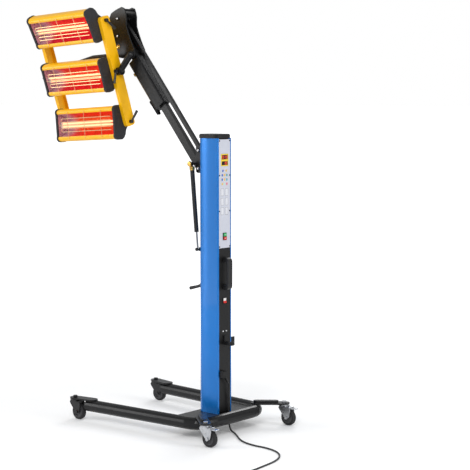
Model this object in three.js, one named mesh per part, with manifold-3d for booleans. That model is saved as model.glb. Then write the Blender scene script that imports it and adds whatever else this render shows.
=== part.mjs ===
import * as THREE from "three";
import { mergeVertices } from "three/addons/utils/BufferGeometryUtils.js";
import Module from "manifold-3d";

// Infrared paint curing lamp on a wheeled stand. Millimetres, Z up, floor at z = 0.
// While it is drawn, x = 0 and y = 0 is the middle of the mast: the operator's panel faces +X,
// the legs and the lamps reach to -X, and -Y is the near side. The last step centres the part.

const wasm = await Module();
wasm.setup();

const X = new THREE.Vector3(1, 0, 0);
const Y = new THREE.Vector3(0, 1, 0);
const Z = new THREE.Vector3(0, 0, 1);
const degree = Math.PI / 180;
const quarterTurn = Math.PI / 2;

// Fits shared by every piece
const seat = 0.3; // gap between two pieces that rest on each other
const play = 0.3; // radial play of a pin in its bore
const weld = 0.0001;
const coarse = 12; // sides of small round things
const round = 16; // sides of larger round things

// Finishes
const finish = {
  blackPaint: { color: 0x17181a, roughness: 0.42, metalness: 0.2 },
  bluePaint: { color: 0x1464c8, roughness: 0.38, metalness: 0.25 },
  yellowPaint: { color: 0xf5b21e, roughness: 0.4, metalness: 0.1 },
  blackPlastic: { color: 0x1b1b1d, roughness: 0.6, metalness: 0 },
  panelFilm: { color: 0xdedee4, roughness: 0.45, metalness: 0.1 },
  glass: { color: 0x2a1a08, roughness: 0.12, metalness: 0 },
  green: { color: 0x1f9a50, roughness: 0.4, metalness: 0 },
  red: { color: 0xc8241c, roughness: 0.4, metalness: 0 },
  zinc: { color: 0xb9bcc0, roughness: 0.35, metalness: 0.9 },
  rubber: { color: 0x1d1d1e, roughness: 0.85, metalness: 0 },
  chrome: { color: 0xd9dbde, roughness: 0.12, metalness: 1 },
  wire: { color: 0xc9cbd0, roughness: 0.25, metalness: 1 },
  reflector: { color: 0xd8b9a8, roughness: 0.22, metalness: 1 },
  quartz: { color: 0xff6a1c, roughness: 0.2, metalness: 0 },
  board: { color: 0x1c6b3a, roughness: 0.6, metalness: 0 },
};

const part = new THREE.Group();
part.name = "infrared_paint_curing_lamp";

// Turn a three.js geometry into a closed solid whose faces point outwards.
function solidOf(geometry) {
  geometry.deleteAttribute("normal");
  geometry.deleteAttribute("uv");
  const welded = mergeVertices(geometry, weld);
  const vertProperties = new Float32Array(welded.attributes.position.array);
  const triVerts = new Uint32Array(welded.index.array);
  const made = new wasm.Manifold(new wasm.Mesh({ numProp: 3, vertProperties, triVerts }));
  if (made.volume() > 0) return made;
  for (let i = 0; i < triVerts.length; i += 3) {
    [triVerts[i + 1], triVerts[i + 2]] = [triVerts[i + 2], triVerts[i + 1]];
  }
  return new wasm.Manifold(new wasm.Mesh({ numProp: 3, vertProperties, triVerts }));
}

// Add one named mesh to the part.
function piece(name, solid, look) {
  const made = solid.getMesh();
  const geometry = new THREE.BufferGeometry();
  geometry.setAttribute("position", new THREE.BufferAttribute(made.vertProperties, 3));
  geometry.setIndex(new THREE.BufferAttribute(made.triVerts, 1));
  geometry.computeVertexNormals();
  const mesh = new THREE.Mesh(geometry, new THREE.MeshStandardMaterial(look));
  mesh.material.flatShading = true;
  mesh.name = name;
  part.add(mesh);
}

function union(solids) {
  return solids.reduce((whole, next) => whole.add(next));
}

// A box between two opposite corners.
function block(low, high) {
  const size = low.map((value, i) => high[i] - value);
  const geometry = new THREE.BoxGeometry(...size);
  geometry.translate(...low.map((value, i) => (value + high[i]) / 2));
  return solidOf(geometry);
}

// A flat outline given thickness along one axis, from low to high.
// Along "x" the outline is in (y, z), along "y" in (x, z), along "z" in (x, y).
function slab(outline, axis, low, high) {
  const shape = new THREE.Shape(outline.map(([u, v]) => new THREE.Vector2(u, v)));
  const geometry = new THREE.ExtrudeGeometry(shape, { depth: high - low, bevelEnabled: false });
  geometry.translate(0, 0, low);
  const bases = { x: [Y, Z, X], y: [X, Z, Y], z: [X, Y, Z] };
  geometry.applyMatrix4(new THREE.Matrix4().makeBasis(...bases[axis]));
  return solidOf(geometry);
}

// A straight round rod between two points, with an optional second radius at its far end.
function rod(from, to, radius, sides = coarse, farRadius = radius) {
  const a = new THREE.Vector3(...from);
  const b = new THREE.Vector3(...to);
  const geometry = new THREE.CylinderGeometry(farRadius, radius, a.distanceTo(b), sides);
  const along = b.clone().sub(a).normalize();
  geometry.applyQuaternion(new THREE.Quaternion().setFromUnitVectors(Y, along));
  geometry.translate(...a.add(b).multiplyScalar(1 / 2).toArray());
  return solidOf(geometry);
}

// A closed profile of [radius, height] points turned about the line through origin along a direction.
function turned(profile, origin, along, sides = round) {
  const points = [...profile, profile[0]].map(([r, h]) => new THREE.Vector2(r, h));
  const geometry = new THREE.LatheGeometry(points, sides);
  geometry.applyQuaternion(new THREE.Quaternion().setFromUnitVectors(Y, along));
  geometry.translate(...origin);
  return solidOf(geometry);
}

// Outline helpers: a rectangle, a rectangle filled by shares, an arc, softened corners, a capsule.
function rectangle(u0, v0, u1, v1) {
  return [
    [u0, v0],
    [u1, v0],
    [u1, v1],
    [u0, v1],
  ];
}

function fill(shares, [u0, v0], [u1, v1]) {
  return shares.map(([u, v]) => [u0 + (u1 - u0) * u, v0 + (v1 - v0) * v]);
}

function arc([u, v], radius, fromAngle, toAngle, steps) {
  return Array.from({ length: steps + 1 }, (_, i) => {
    const angle = fromAngle + ((toAngle - fromAngle) * i) / steps;
    return [u + radius * Math.cos(angle), v + radius * Math.sin(angle)];
  });
}

function soften(outline, radius, steps = 3) {
  return outline.flatMap((corner, i) => {
    const before = outline[(i + outline.length - 1) % outline.length];
    const after = outline[(i + 1) % outline.length];
    const towards = (other) => {
      const length = Math.hypot(other[0] - corner[0], other[1] - corner[1]);
      const reach = Math.min(radius, length / 2.01) / length;
      return [corner[0] + (other[0] - corner[0]) * reach, corner[1] + (other[1] - corner[1]) * reach];
    };
    const [a, b] = [towards(before), towards(after)];
    return Array.from({ length: steps + 1 }, (_, k) => {
      const t = k / steps;
      const mix = (j) => (1 - t) ** 2 * a[j] + 2 * t * (1 - t) * corner[j] + t ** 2 * b[j];
      return [mix(0), mix(1)];
    });
  });
}

function capsule([u0, v0], [u1, v1], radius, steps = 6) {
  const angle = Math.atan2(v1 - v0, u1 - u0);
  return [
    ...arc([u1, v1], radius, angle - quarterTurn, angle + quarterTurn, steps),
    ...arc([u0, v0], radius, angle + quarterTurn, angle + 3 * quarterTurn, steps),
  ];
}

// A sheet of even thickness that follows an open line: the line is offset to both sides.
function ribbon(line, thickness) {
  const side = (sign) =>
    line.map(([u, v], i) => {
      const [a, b] = [line[Math.max(i - 1, 0)], line[Math.min(i + 1, line.length - 1)]];
      const unit = (p, q) => {
        const length = Math.hypot(q[0] - p[0], q[1] - p[1]) || 1;
        return [(q[0] - p[0]) / length, (q[1] - p[1]) / length];
      };
      const [before, after] = [unit(i ? a : line[i], i ? line[i] : b), unit(i < line.length - 1 ? line[i] : a, b)];
      const sum = [-(before[1] + after[1]), before[0] + after[0]];
      const scale = (sign * thickness) / (sum[0] ** 2 + sum[1] ** 2);
      return [u + sum[0] * scale, v + sum[1] * scale];
    });
  return [...side(1), ...side(-1).reverse()];
}

// A path made of chosen samples, each with its own direction, so that a tube has
// rings only where the path bends.
class SampledPath extends THREE.Curve {
  constructor(samples) {
    super();
    this.samples = samples;
  }
  pick(t, key) {
    const at = Math.round(t * (this.samples.length - 1));
    return this.samples[at][key].clone();
  }
  getPoint(t) {
    return this.pick(t, "point");
  }
  getPointAt(t) {
    return this.pick(t, "point");
  }
  getTangent(t) {
    return this.pick(t, "along");
  }
  getTangentAt(t) {
    return this.pick(t, "along");
  }
}

// Straight runs through the points, with each inner corner bent to a radius.
function bent(points, radius, steps) {
  const at = points.map((point) => new THREE.Vector3(...point));
  const samples = [{ point: at[0], along: at[1].clone().sub(at[0]).normalize() }];
  for (let i = 1; i < at.length - 1; i += 1) {
    const before = at[i].clone().sub(at[i - 1]).normalize();
    const after = at[i + 1].clone().sub(at[i]).normalize();
    const turn = before.angleTo(after);
    const axis = before.clone().cross(after).normalize();
    const start = at[i].clone().addScaledVector(before, -radius * Math.tan(turn / 2));
    const inward = axis.clone().cross(before);
    const centre = start.clone().addScaledVector(inward, radius);
    for (let k = 0; k <= steps; k += 1) {
      const angle = (turn * k) / steps;
      const spoke = start.clone().sub(centre).applyAxisAngle(axis, angle);
      samples.push({
        point: centre.clone().add(spoke),
        along: before.clone().applyAxisAngle(axis, angle),
      });
    }
  }
  const last = at.length - 1;
  samples.push({ point: at[last], along: at[last].clone().sub(at[last - 1]).normalize() });
  return samples;
}

// A round tube along samples. Its ring is scaled so that a flat side never cuts inside the radius.
function tube(samples, radius, sides) {
  const ring = Array.from({ length: sides }, (_, i) => {
    const angle = ((i + 1 / 2) * 2 * Math.PI) / sides;
    return new THREE.Vector2(radius * Math.cos(angle), radius * Math.sin(angle));
  });
  const geometry = new THREE.ExtrudeGeometry(new THREE.Shape(ring), {
    steps: samples.length - 1,
    extrudePath: new SampledPath(samples),
  });
  return solidOf(geometry);
}

// The same for both sides of the stand.
const sides = { near: -1, far: 1 };

// Casters: a twin-cheek fork that swivels on its king pin, a wheel, and a brake pedal at the rear
const caster = {
  frontX: -690,
  rearX: 192,
  sideY: 292,
  trail: 28,
  wheelRadius: 40,
  tyreHalfWidth: 12.5,
  hubHalfWidth: 15,
  hubRadius: 11,
  webHalfWidth: 5.5,
  webRadius: 28,
  shoulder: 5,
  axleRadius: 5,
  cheekInner: 16,
  cheekThickness: 3,
  cheekFront: 22,
  crownThickness: 6,
  crownRadius: 25,
  crownGap: 21.7,
  raceRadius: 20,
  raceThickness: 5,
  pinRadius: 6,
  pinHeadRadius: 11,
  pinHeadThickness: 8,
};
caster.crownTop = 2 * caster.wheelRadius + caster.crownGap;
const carrier = { bottom: caster.crownTop + seat, thickness: 8, radius: 27 };
const carrierTop = carrier.bottom + carrier.thickness;
const pedal = { pivotX: 42, below: 13.7, pinRadius: 3, thickness: 4, reach: 34, halfWidth: 15, tail: 8 };
pedal.pivotZ = caster.crownTop - pedal.below;

function wheelProfile() {
  const c = caster;
  return [
    [c.axleRadius + play, -c.hubHalfWidth],
    [c.hubRadius, -c.hubHalfWidth],
    [c.hubRadius, -c.webHalfWidth],
    [c.webRadius, -c.tyreHalfWidth],
    [c.wheelRadius - c.shoulder, -c.tyreHalfWidth],
    [c.wheelRadius, -c.tyreHalfWidth + c.shoulder],
    [c.wheelRadius, c.tyreHalfWidth - c.shoulder],
    [c.wheelRadius - c.shoulder, c.tyreHalfWidth],
    [c.webRadius, c.tyreHalfWidth],
    [c.hubRadius, c.webHalfWidth],
    [c.hubRadius, c.hubHalfWidth],
    [c.axleRadius + play, c.hubHalfWidth],
  ];
}

// Shares of the cheek between its swivel side and its axle end, seen from the side.
const cheekShares = [
  [0, 1],
  [0, 0.84],
  [0.5, 0.03],
  [0.66, -0.1],
  [0.86, -0.06],
  [0.95, 0.12],
  [1, 0.6],
  [0.98, 1],
];

function casterFork(x, y) {
  const c = caster;
  const axleX = x + c.trail;
  const crownBottom = c.crownTop - c.raceThickness - c.crownThickness;
  const cheekOuter = c.cheekInner + c.cheekThickness;
  const outline = soften(
    fill(cheekShares, [x - c.cheekFront, c.wheelRadius], [x + pedal.pivotX + pedal.tail, crownBottom + 1]),
    c.shoulder,
    1,
  );
  const cheeks = Object.values(sides).map((side) => {
    const faces = [side * c.cheekInner, side * cheekOuter].sort((a, b) => a - b);
    return slab(outline, "y", y + faces[0], y + faces[1]);
  });
  const crown = slab(
    soften(rectangle(x - c.cheekFront, y - cheekOuter, x + c.crownRadius, y + cheekOuter), c.shoulder, 1),
    "z",
    crownBottom,
    crownBottom + c.crownThickness,
  );
  const race = rod([x, y, crownBottom + 1], [x, y, c.crownTop], c.raceRadius);
  const pin = rod([x, y, c.crownTop - 1], [x, y, carrierTop + seat + 1], c.pinRadius);
  const headBottom = carrierTop + seat;
  const head = rod([x, y, headBottom], [x, y, headBottom + c.pinHeadThickness], c.pinHeadRadius, 6);
  const nutReach = cheekOuter + c.axleRadius;
  const axle = rod([axleX, y - nutReach, c.wheelRadius], [axleX, y + nutReach, c.wheelRadius], c.axleRadius);
  const nuts = Object.values(sides).map((side) =>
    rod(
      [axleX, y + side * (cheekOuter - 1), c.wheelRadius],
      [axleX, y + side * nutReach, c.wheelRadius],
      c.hubRadius - 2,
      6,
    ),
  );
  return union([...cheeks, crown, race, pin, head, axle, ...nuts]);
}

function addCaster(name, x, y, braked) {
  const c = caster;
  const wheelCentre = [x + c.trail, y, c.wheelRadius];
  let fork = casterFork(x, y);
  if (braked) {
    const pivot = (side) => [x + pedal.pivotX, y + side * (c.cheekInner + 1), pedal.pivotZ];
    fork = fork.add(rod(pivot(-1), pivot(1), pedal.pinRadius));
    const hinge = [x + pedal.pivotX, pedal.pivotZ];
    const plate = rectangle(-pedal.tail, -pedal.thickness, pedal.reach, 0);
    const tread = soften(plate, pedal.thickness / 2, 2);
    const barrel = arc([0, 0], pedal.pinRadius + pedal.thickness, 0, 2 * Math.PI, coarse).slice(1);
    const move = (outline) => outline.map(([u, v]) => [hinge[0] + u, hinge[1] + v]);
    const bore = rod(pivot(-1), pivot(1), pedal.pinRadius + play);
    const solid = slab(move(tread), "y", y - pedal.halfWidth, y + pedal.halfWidth)
      .add(slab(move(barrel), "y", y - pedal.halfWidth, y + pedal.halfWidth))
      .subtract(bore);
    piece(`brake_pedal_${name}`, solid, finish.zinc);
  }
  piece(`caster_fork_${name}`, fork, finish.zinc);
  piece(`caster_wheel_${name}`, turned(wheelProfile(), wheelCentre, Y), finish.rubber);
}

for (const [name, side] of Object.entries(sides)) {
  addCaster(`front_${name}`, caster.frontX, side * caster.sideY, false);
  addCaster(`rear_${name}`, caster.rearX, side * caster.sideY, true);
}

// Base: one bent tube that opens to the front, with caster carriers, outriggers and the foot plate
const base = {
  tubeRadius: 30,
  tubeWall: 3,
  tubeBelow: 26.7,
  endX: -615,
  endY: 275.6,
  crossX: 107,
  cornerY: 228,
  bend: 90,
  bendSteps: 6,
};
base.tubeZ = caster.crownTop - base.tubeBelow;
const footPlate = { back: -92, front: 82, thickness: 6, rise: 11.7, notchFar: 34, notchNear: -2, notchBack: 58 };
footPlate.top = base.tubeZ + footPlate.rise;
const foot = { halfWidth: 40, back: -60, front: 40, height: 24, wall: 6 };
const outrigger = { rise: 18, halfWidth: 15, innerX: 84, innerY: 204, outerX: 160, outerY: 266, boltRadius: 9 };

function baseFrame() {
  const b = base;
  const route = bent(
    [
      [b.endX, b.endY, b.tubeZ],
      [b.crossX, b.cornerY, b.tubeZ],
      [b.crossX, -b.cornerY, b.tubeZ],
      [b.endX, -b.endY, b.tubeZ],
    ],
    b.bend,
    b.bendSteps,
  );
  const bore = route.map((sample) => ({ ...sample, point: sample.point.clone() }));
  const last = bore.length - 1;
  bore[0].point.addScaledVector(bore[0].along, -b.tubeWall);
  bore[last].point.addScaledVector(bore[last].along, b.tubeWall);
  const plate = rectangle(footPlate.back, -b.cornerY, footPlate.front, b.cornerY);
  const notch = soften(
    rectangle(footPlate.notchBack, footPlate.notchNear, b.crossX, footPlate.notchFar),
    base.tubeWall,
  );
  const plateBottom = footPlate.top - footPlate.thickness;
  const solids = [
    tube(route, b.tubeRadius, round),
    slab(plate, "z", plateBottom, footPlate.top).subtract(slab(notch, "z", 0, b.tubeZ * 2)),
  ];
  for (const side of Object.values(sides)) {
    const frontAt = [caster.frontX, side * caster.sideY];
    const tubeAt = [b.endX + b.tubeRadius, side * (b.endY - 2)];
    solids.push(slab(capsule(tubeAt, frontAt, carrier.radius), "z", carrier.bottom, carrierTop));
    const rearAt = [caster.rearX, side * caster.sideY];
    const bendAt = [outrigger.innerX, side * outrigger.innerY];
    solids.push(slab(capsule(bendAt, rearAt, carrier.radius), "z", carrier.bottom, carrierTop));
    const barEnd = [outrigger.outerX, side * outrigger.outerY];
    const bar = capsule(bendAt, barEnd, outrigger.halfWidth, 3);
    solids.push(slab(bar, "z", carrier.bottom, carrier.bottom + outrigger.rise));
  }
  let frame = union(solids).subtract(tube(bore, b.tubeRadius - b.tubeWall, round));
  const f = foot;
  const upstand = block([f.back, -f.halfWidth, footPlate.top - 1], [f.front, f.halfWidth, footPlate.top + f.height]);
  const hollow = block(
    [f.back + f.wall, f.wall - f.halfWidth, footPlate.top],
    [f.front - f.wall, f.halfWidth - f.wall, footPlate.top + f.height + 1],
  );
  frame = frame.add(upstand.subtract(hollow));
  for (const side of Object.values(sides)) {
    for (const x of [caster.frontX, caster.rearX]) {
      const y = side * caster.sideY;
      frame = frame.subtract(rod([x, y, b.tubeZ], [x, y, b.tubeZ * 2], caster.pinRadius + play));
    }
  }
  return frame;
}
piece("base_frame", baseFrame(), finish.blackPaint);

// Mast: an aluminium channel with a rounded back, open to the front behind the panel and the cover
const mast = {
  halfWidth: 50,
  back: -72,
  front: 57,
  bottom: footPlate.top + seat,
  top: 1420,
  backRadius: 28,
  wall: 3.5,
  frontRadius: 5,
  rebateY: 41.5,
  rebateDepth: 4.7,
  ledgeY: 36,
  ledgeDepth: 9,
  arcSteps: 6,
};
mast.rebateX = mast.front - mast.rebateDepth;
mast.ledgeX = mast.front - mast.ledgeDepth;
const panel = { recess: 1, edgeGap: 5, length: 521, halfWidth: mast.rebateY - seat, back: mast.rebateX + seat };
panel.front = mast.front - panel.recess;
panel.top = mast.top - panel.edgeGap;
panel.bottom = panel.top - panel.length;
const cover = { lift: 9, top: panel.bottom - seat };
cover.bottom = mast.bottom + cover.lift;

function mastHalf(outerRadius) {
  const m = mast;
  const centre = [m.back + m.backRadius, m.halfWidth - m.backRadius];
  const corner = [m.front - m.frontRadius, m.halfWidth - m.frontRadius];
  return {
    outer: [
      [m.front, m.rebateY],
      ...arc(corner, m.frontRadius, 0, quarterTurn, 3),
      ...arc(centre, outerRadius, quarterTurn, 2 * quarterTurn, m.arcSteps),
    ],
    inner: [
      ...arc(centre, outerRadius - m.wall, 2 * quarterTurn, quarterTurn, m.arcSteps),
      [m.ledgeX, m.halfWidth - m.wall],
      [m.ledgeX, m.ledgeY],
      [m.rebateX, m.ledgeY],
      [m.rebateX, m.rebateY],
    ],
  };
}
const flipped = (outline) => outline.map(([u, v]) => [u, -v]).reverse();
const mastLever = {
  z: 700,
  studRadius: 4,
  hubRadius: 13,
  hubLength: 30,
  armRadius: 7,
  gripRadius: 9,
  bendOut: 42,
  endOut: 95,
  endDrop: 20,
};

function mastExtrusion() {
  const half = mastHalf(mast.backRadius);
  const outline = [...half.outer, ...flipped(half.outer), ...flipped(half.inner), ...half.inner];
  const studHole = rod(
    [mast.back - 1, 0, mastLever.z],
    [mast.back + mast.wall + 1, 0, mastLever.z],
    mastLever.studRadius + play,
  );
  return slab(outline, "z", mast.bottom, mast.top).subtract(studHole);
}
piece("mast_extrusion", mastExtrusion(), finish.bluePaint);

const cap = { thickness: 16, overhang: 2, topStep: 4, spigotDepth: 14, spigotHalfWidth: 44, spigotBack: -43, spigotFront: 44 };
function topCap() {
  const bottom = mast.top + seat;
  const spread = (extra) => {
    const m = mast;
    return soften(
      rectangle(m.back - extra, -m.halfWidth - extra, m.front + extra, m.halfWidth + extra),
      m.backRadius,
      5,
    );
  };
  const lid = slab(spread(cap.overhang), "z", bottom, bottom + cap.thickness);
  const crown = slab(spread(0), "z", bottom + cap.thickness - 1, bottom + cap.thickness + cap.topStep);
  const spigot = block(
    [cap.spigotBack, -cap.spigotHalfWidth, bottom - cap.spigotDepth],
    [cap.spigotFront, cap.spigotHalfWidth, bottom + 1],
  );
  return union([lid, crown, spigot]);
}
piece("mast_top_cap", topCap(), finish.blackPlastic);

// Control panel with its display window, and the switch block with two push buttons
const display = { halfWidth: 25.6, below: 69.6, height: 57.9, proud: 1.4, depth: 8.4 };
display.top = panel.top - display.below;
display.bottom = display.top - display.height;
display.front = panel.front + display.proud;
display.back = display.front - display.depth;
const switchBlock = { halfWidth: 12.5, above: 38, height: 35, proud: 2.5, depth: 12.5, wall: 2.2, middle: 3 };
switchBlock.bottom = panel.bottom + switchBlock.above;
switchBlock.top = switchBlock.bottom + switchBlock.height;
switchBlock.front = panel.front + switchBlock.proud;
switchBlock.back = switchBlock.front - switchBlock.depth;
const button = { proud: 3, length: 7.9, travel: 3 };
button.front = switchBlock.front + button.proud;
button.back = button.front - button.length;

function windowIn(size, margin) {
  return block(
    [mast.ledgeX, -size.halfWidth - margin, size.bottom - margin],
    [mast.front + 1, size.halfWidth + margin, size.top + margin],
  );
}
const panelPlate = block(
  [panel.back, -panel.halfWidth, panel.bottom],
  [panel.front, panel.halfWidth, panel.top],
);
piece(
  "control_panel",
  panelPlate.subtract(windowIn(display, play)).subtract(windowIn(switchBlock, play)),
  finish.panelFilm,
);

const displayBlock = block(
  [display.back, -display.halfWidth, display.bottom],
  [display.front, display.halfWidth, display.top],
);
piece("display_window", displayBlock, finish.glass);

const buttonHalf = switchBlock.halfWidth - switchBlock.wall - play;
const buttonHeight = (switchBlock.top - switchBlock.bottom - 2 * switchBlock.wall - switchBlock.middle) / 2;
function pushButton(bottom, margin, back, front) {
  const outline = soften(
    rectangle(-buttonHalf - margin, bottom - margin, buttonHalf + margin, bottom + buttonHeight + margin),
    2,
    2,
  );
  return slab(outline, "x", back, front);
}
const offBottom = switchBlock.bottom + switchBlock.wall;
const onBottom = offBottom + buttonHeight + switchBlock.middle;
const bezel = block(
  [switchBlock.back, -switchBlock.halfWidth, switchBlock.bottom],
  [switchBlock.front, switchBlock.halfWidth, switchBlock.top],
);
const pocketBack = button.back - button.travel - 1;
const pockets = [onBottom, offBottom].map((at) => pushButton(at, play, pocketBack, button.front));
piece("switch_bezel", bezel.subtract(pockets[0]).subtract(pockets[1]), finish.blackPlastic);
piece("on_button", pushButton(onBottom, 0, button.back, button.front), finish.green);
piece("off_button", pushButton(offBottom, 0, button.back, button.front), finish.red);

// Control board on stand-offs behind the panel
const board = { halfWidth: 30, above: 91, below: 145, standOff: 16.3, thickness: 2, chip: 8, postRadius: 3 };
board.bottom = panel.bottom + board.above;
board.top = panel.top - board.below;
board.front = mast.rebateX - board.standOff;
board.back = board.front - board.thickness;
board.chipFront = board.front + board.chip;
function controlBoard() {
  const b = board;
  const solids = [block([b.back, -b.halfWidth, b.bottom], [b.front, b.halfWidth, b.top])];
  const tall = b.top - b.bottom;
  for (const y of [-b.halfWidth * 0.8, b.halfWidth * 0.8]) {
    for (const z of [b.bottom + tall * 0.04, b.top - tall * 0.04]) {
      solids.push(rod([b.back, y, z], [mast.rebateX, y, z], b.postRadius, 8));
    }
  }
  for (const [low, high] of [[0.15, 0.4], [0.5, 0.62], [0.7, 0.9]]) {
    solids.push(
      block(
        [b.front - 1, -b.halfWidth * 0.6, b.bottom + tall * low],
        [b.chipFront, b.halfWidth * 0.5, b.bottom + tall * high],
      ),
    );
  }
  return union(solids);
}
piece("control_board", controlBoard(), finish.board);

// Lower cover with its moulded cord hook and breaker frame, and the rocker in that frame
const breaker = { halfWidth: 13, bottom: 622, top: 654, proud: 2.5, depth: 12.5, wall: 2.6, pivotDepth: 4.5 };
breaker.front = panel.front + breaker.proud;
breaker.back = breaker.front - breaker.depth;
breaker.pivotX = breaker.front - breaker.pivotDepth;
const rocker = { tipOut: 6, middleOut: 3.4, back: 3, tilt: 8 };
const hook = {
  bottom: 424,
  top: 470,
  halfWidth: 9,
  reach: 56,
  lip: 18,
  thickness: 7,
};
const hookShares = [
  [-0.04, 0],
  [1, 0],
  [1, 1],
  [0.87, 1],
  [0.87, 0.36],
  [0.12, 0.36],
  [0.12, 1],
  [-0.04, 1],
];
const breakerMiddle = (breaker.bottom + breaker.top) / 2;
const rockerHalf = (breaker.top - breaker.bottom) / 2 - breaker.wall - 5 * play;

function lowerCover() {
  const sheet = block([panel.back, -panel.halfWidth, cover.bottom], [panel.front, panel.halfWidth, cover.top]);
  const frame = block(
    [breaker.back, -breaker.halfWidth, breaker.bottom],
    [breaker.front, breaker.halfWidth, breaker.top],
  );
  const well = block(
    [breaker.back + breaker.wall, breaker.wall - breaker.halfWidth, breaker.bottom + breaker.wall],
    [breaker.front + 1, breaker.halfWidth - breaker.wall, breaker.top - breaker.wall],
  );
  const hanger = slab(
    soften(fill(hookShares, [panel.front, hook.bottom], [panel.front + hook.reach, hook.top]), hook.thickness / 2),
    "y",
    -hook.halfWidth,
    hook.halfWidth,
  );
  return sheet.add(frame).subtract(well).add(hanger);
}
piece("lower_cover", lowerCover(), finish.blackPlastic);

function breakerRocker() {
  const r = rocker;
  const outline = [
    [-r.back, -rockerHalf * 0.8],
    [r.tipOut, -rockerHalf],
    [r.middleOut, 0],
    [r.tipOut, rockerHalf],
    [-r.back, rockerHalf * 0.8],
  ];
  const angle = r.tilt * degree;
  const leaned = outline.map(([u, v]) => [
    breaker.pivotX + u * Math.cos(angle) - v * Math.sin(angle),
    breakerMiddle + u * Math.sin(angle) + v * Math.cos(angle),
  ]);
  const half = breaker.halfWidth - breaker.wall - play;
  return slab(leaned, "y", -half, half);
}
piece("breaker_rocker", breakerRocker(), finish.red);

// Grab handle on the cover: two feet and a grip that clears the fingers
const handle = { below: 41.7, length: 163, halfWidth: 14, reach: 37, grip: 13, foot: 26, corner: 16 };
handle.top = cover.top - handle.below;
handle.bottom = handle.top - handle.length;
function grabHandle() {
  const h = handle;
  const face = panel.front + seat;
  const outer = [
    [face, h.bottom],
    [face + h.reach, h.bottom + h.corner / 2],
    [face + h.reach, h.top - h.corner / 2],
    [face, h.top],
  ];
  const hole = rectangle(face - h.grip, h.bottom + h.foot, face + h.reach - h.grip, h.top - h.foot);
  const solid = slab(soften(outer, h.corner, 4), "y", -h.halfWidth, h.halfWidth);
  return solid.subtract(slab(soften(hole, h.corner / 2), "y", -h.halfWidth * 2, h.halfWidth * 2));
}
piece("grab_handle", grabHandle(), finish.blackPlastic);

// Cord outlet: a hood on the cover whose tapered sleeve points down and across
const cord = { radius: 4, sides: 8, outX: 71, outY: -26, outZ: 284, lean: 35 * degree };
const gland = { halfWidth: 14, low: 18, high: 16, depth: 27, sleeveRadius: 9, tipRadius: 6.2, sleeve: 46, chamfer: 6 };
const outlet = new THREE.Vector3(0, Math.sin(cord.lean), -Math.cos(cord.lean));
const sleeveStart = new THREE.Vector3(cord.outX, cord.outY, cord.outZ);
const sleeveTip = sleeveStart.clone().addScaledVector(outlet, gland.sleeve);
function cordGland() {
  const face = panel.front + seat;
  const hood = slab(
    soften(
      rectangle(
        face,
        cord.outZ - gland.low,
        face + gland.depth,
        cord.outZ + gland.high,
      ),
      gland.chamfer,
    ),
    "y",
    cord.outY - gland.halfWidth,
    cord.outY + gland.halfWidth,
  );
  const sleeve = rod(sleeveStart.toArray(), sleeveTip.toArray(), gland.sleeveRadius, coarse, gland.tipRadius);
  return hood.add(sleeve);
}
piece("cord_gland", cordGland(), finish.blackPlastic);

// Clamp lever on the back of the mast
function clampLever() {
  const m = mastLever;
  const face = mast.back - seat;
  const stud = rod([mast.back + mast.wall, 0, m.z], [face - 1, 0, m.z], m.studRadius);
  const hub = rod([face, 0, m.z], [face - m.hubLength, 0, m.z], m.hubRadius, coarse, m.armRadius + 2);
  const arm = rod([face - m.hubLength / 2, 0, m.z], [face - m.bendOut, 0, m.z - m.endDrop / 4], m.armRadius);
  const grip = rod(
    [face - m.bendOut + m.armRadius, 0, m.z - m.endDrop / 4],
    [face - m.endOut, 0, m.z - m.endDrop],
    m.armRadius,
    coarse,
    m.gripRadius,
  );
  return union([stud, hub, arm, grip]);
}
piece("mast_clamp_lever", clampLever(), finish.blackPlastic);

// Lift arm: a rail on the back of the mast, two parallel bars, and a gas strut on the near side
const arm = {
  behind: 23,
  below: 147.7,
  spread: 87,
  angle: 51 * degree,
  length: 834,
  lowHalfHeight: 19,
  lowHalfWidth: 13,
  upHalfHeight: 9,
  upHalfWidth: 9,
  wall: 3,
  lugRadius: 14,
  lugStart: 5,
  pinRadius: 6,
  drainInset: 60,
  drainRadius: 3,
};
arm.pivotX = mast.back - arm.behind;
arm.lowZ = mast.top - arm.below;
const rail = {
  halfWidth: 19,
  thickness: 5,
  footBelow: 30,
  topGap: 32,
  earAbove: 24.7,
  earBelow: 22.3,
  earReach: 17,
  earInner: 14,
  headRadius: 10,
  headThickness: 5,
};
rail.top = mast.top - rail.topGap;
rail.earTop = arm.lowZ + arm.spread + rail.earAbove;
rail.earBottom = arm.lowZ - rail.earBelow;
rail.earOut = arm.pivotX - rail.earReach;
const strut = {
  y: -33,
  footBehind: 16,
  footBelow: 392.3,
  studAlong: 36.4,
  studBelow: -10.4,
  cylinderRadius: 11,
  rodRadius: 4.5,
  eyeRadius: 9,
  eyeHalf: 6,
  bare: 84,
  pinRadius: 5,
};
strut.footX = mast.back - strut.footBehind;
strut.footZ = arm.lowZ - strut.footBelow;
rail.bottom = strut.footZ - rail.footBelow;
const armAlong = new THREE.Vector3(-Math.cos(arm.angle), 0, Math.sin(arm.angle));
const armAcross = new THREE.Vector3(Math.sin(arm.angle), 0, Math.cos(arm.angle));

// Place a solid drawn with x along the arm, y towards the near side and z across the arm.
function onArm(solid, pivotZ) {
  const matrix = new THREE.Matrix4().makeBasis(armAlong, Y.clone().negate(), armAcross);
  matrix.setPosition(arm.pivotX, 0, pivotZ);
  return solid.transform(matrix.elements);
}

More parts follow.
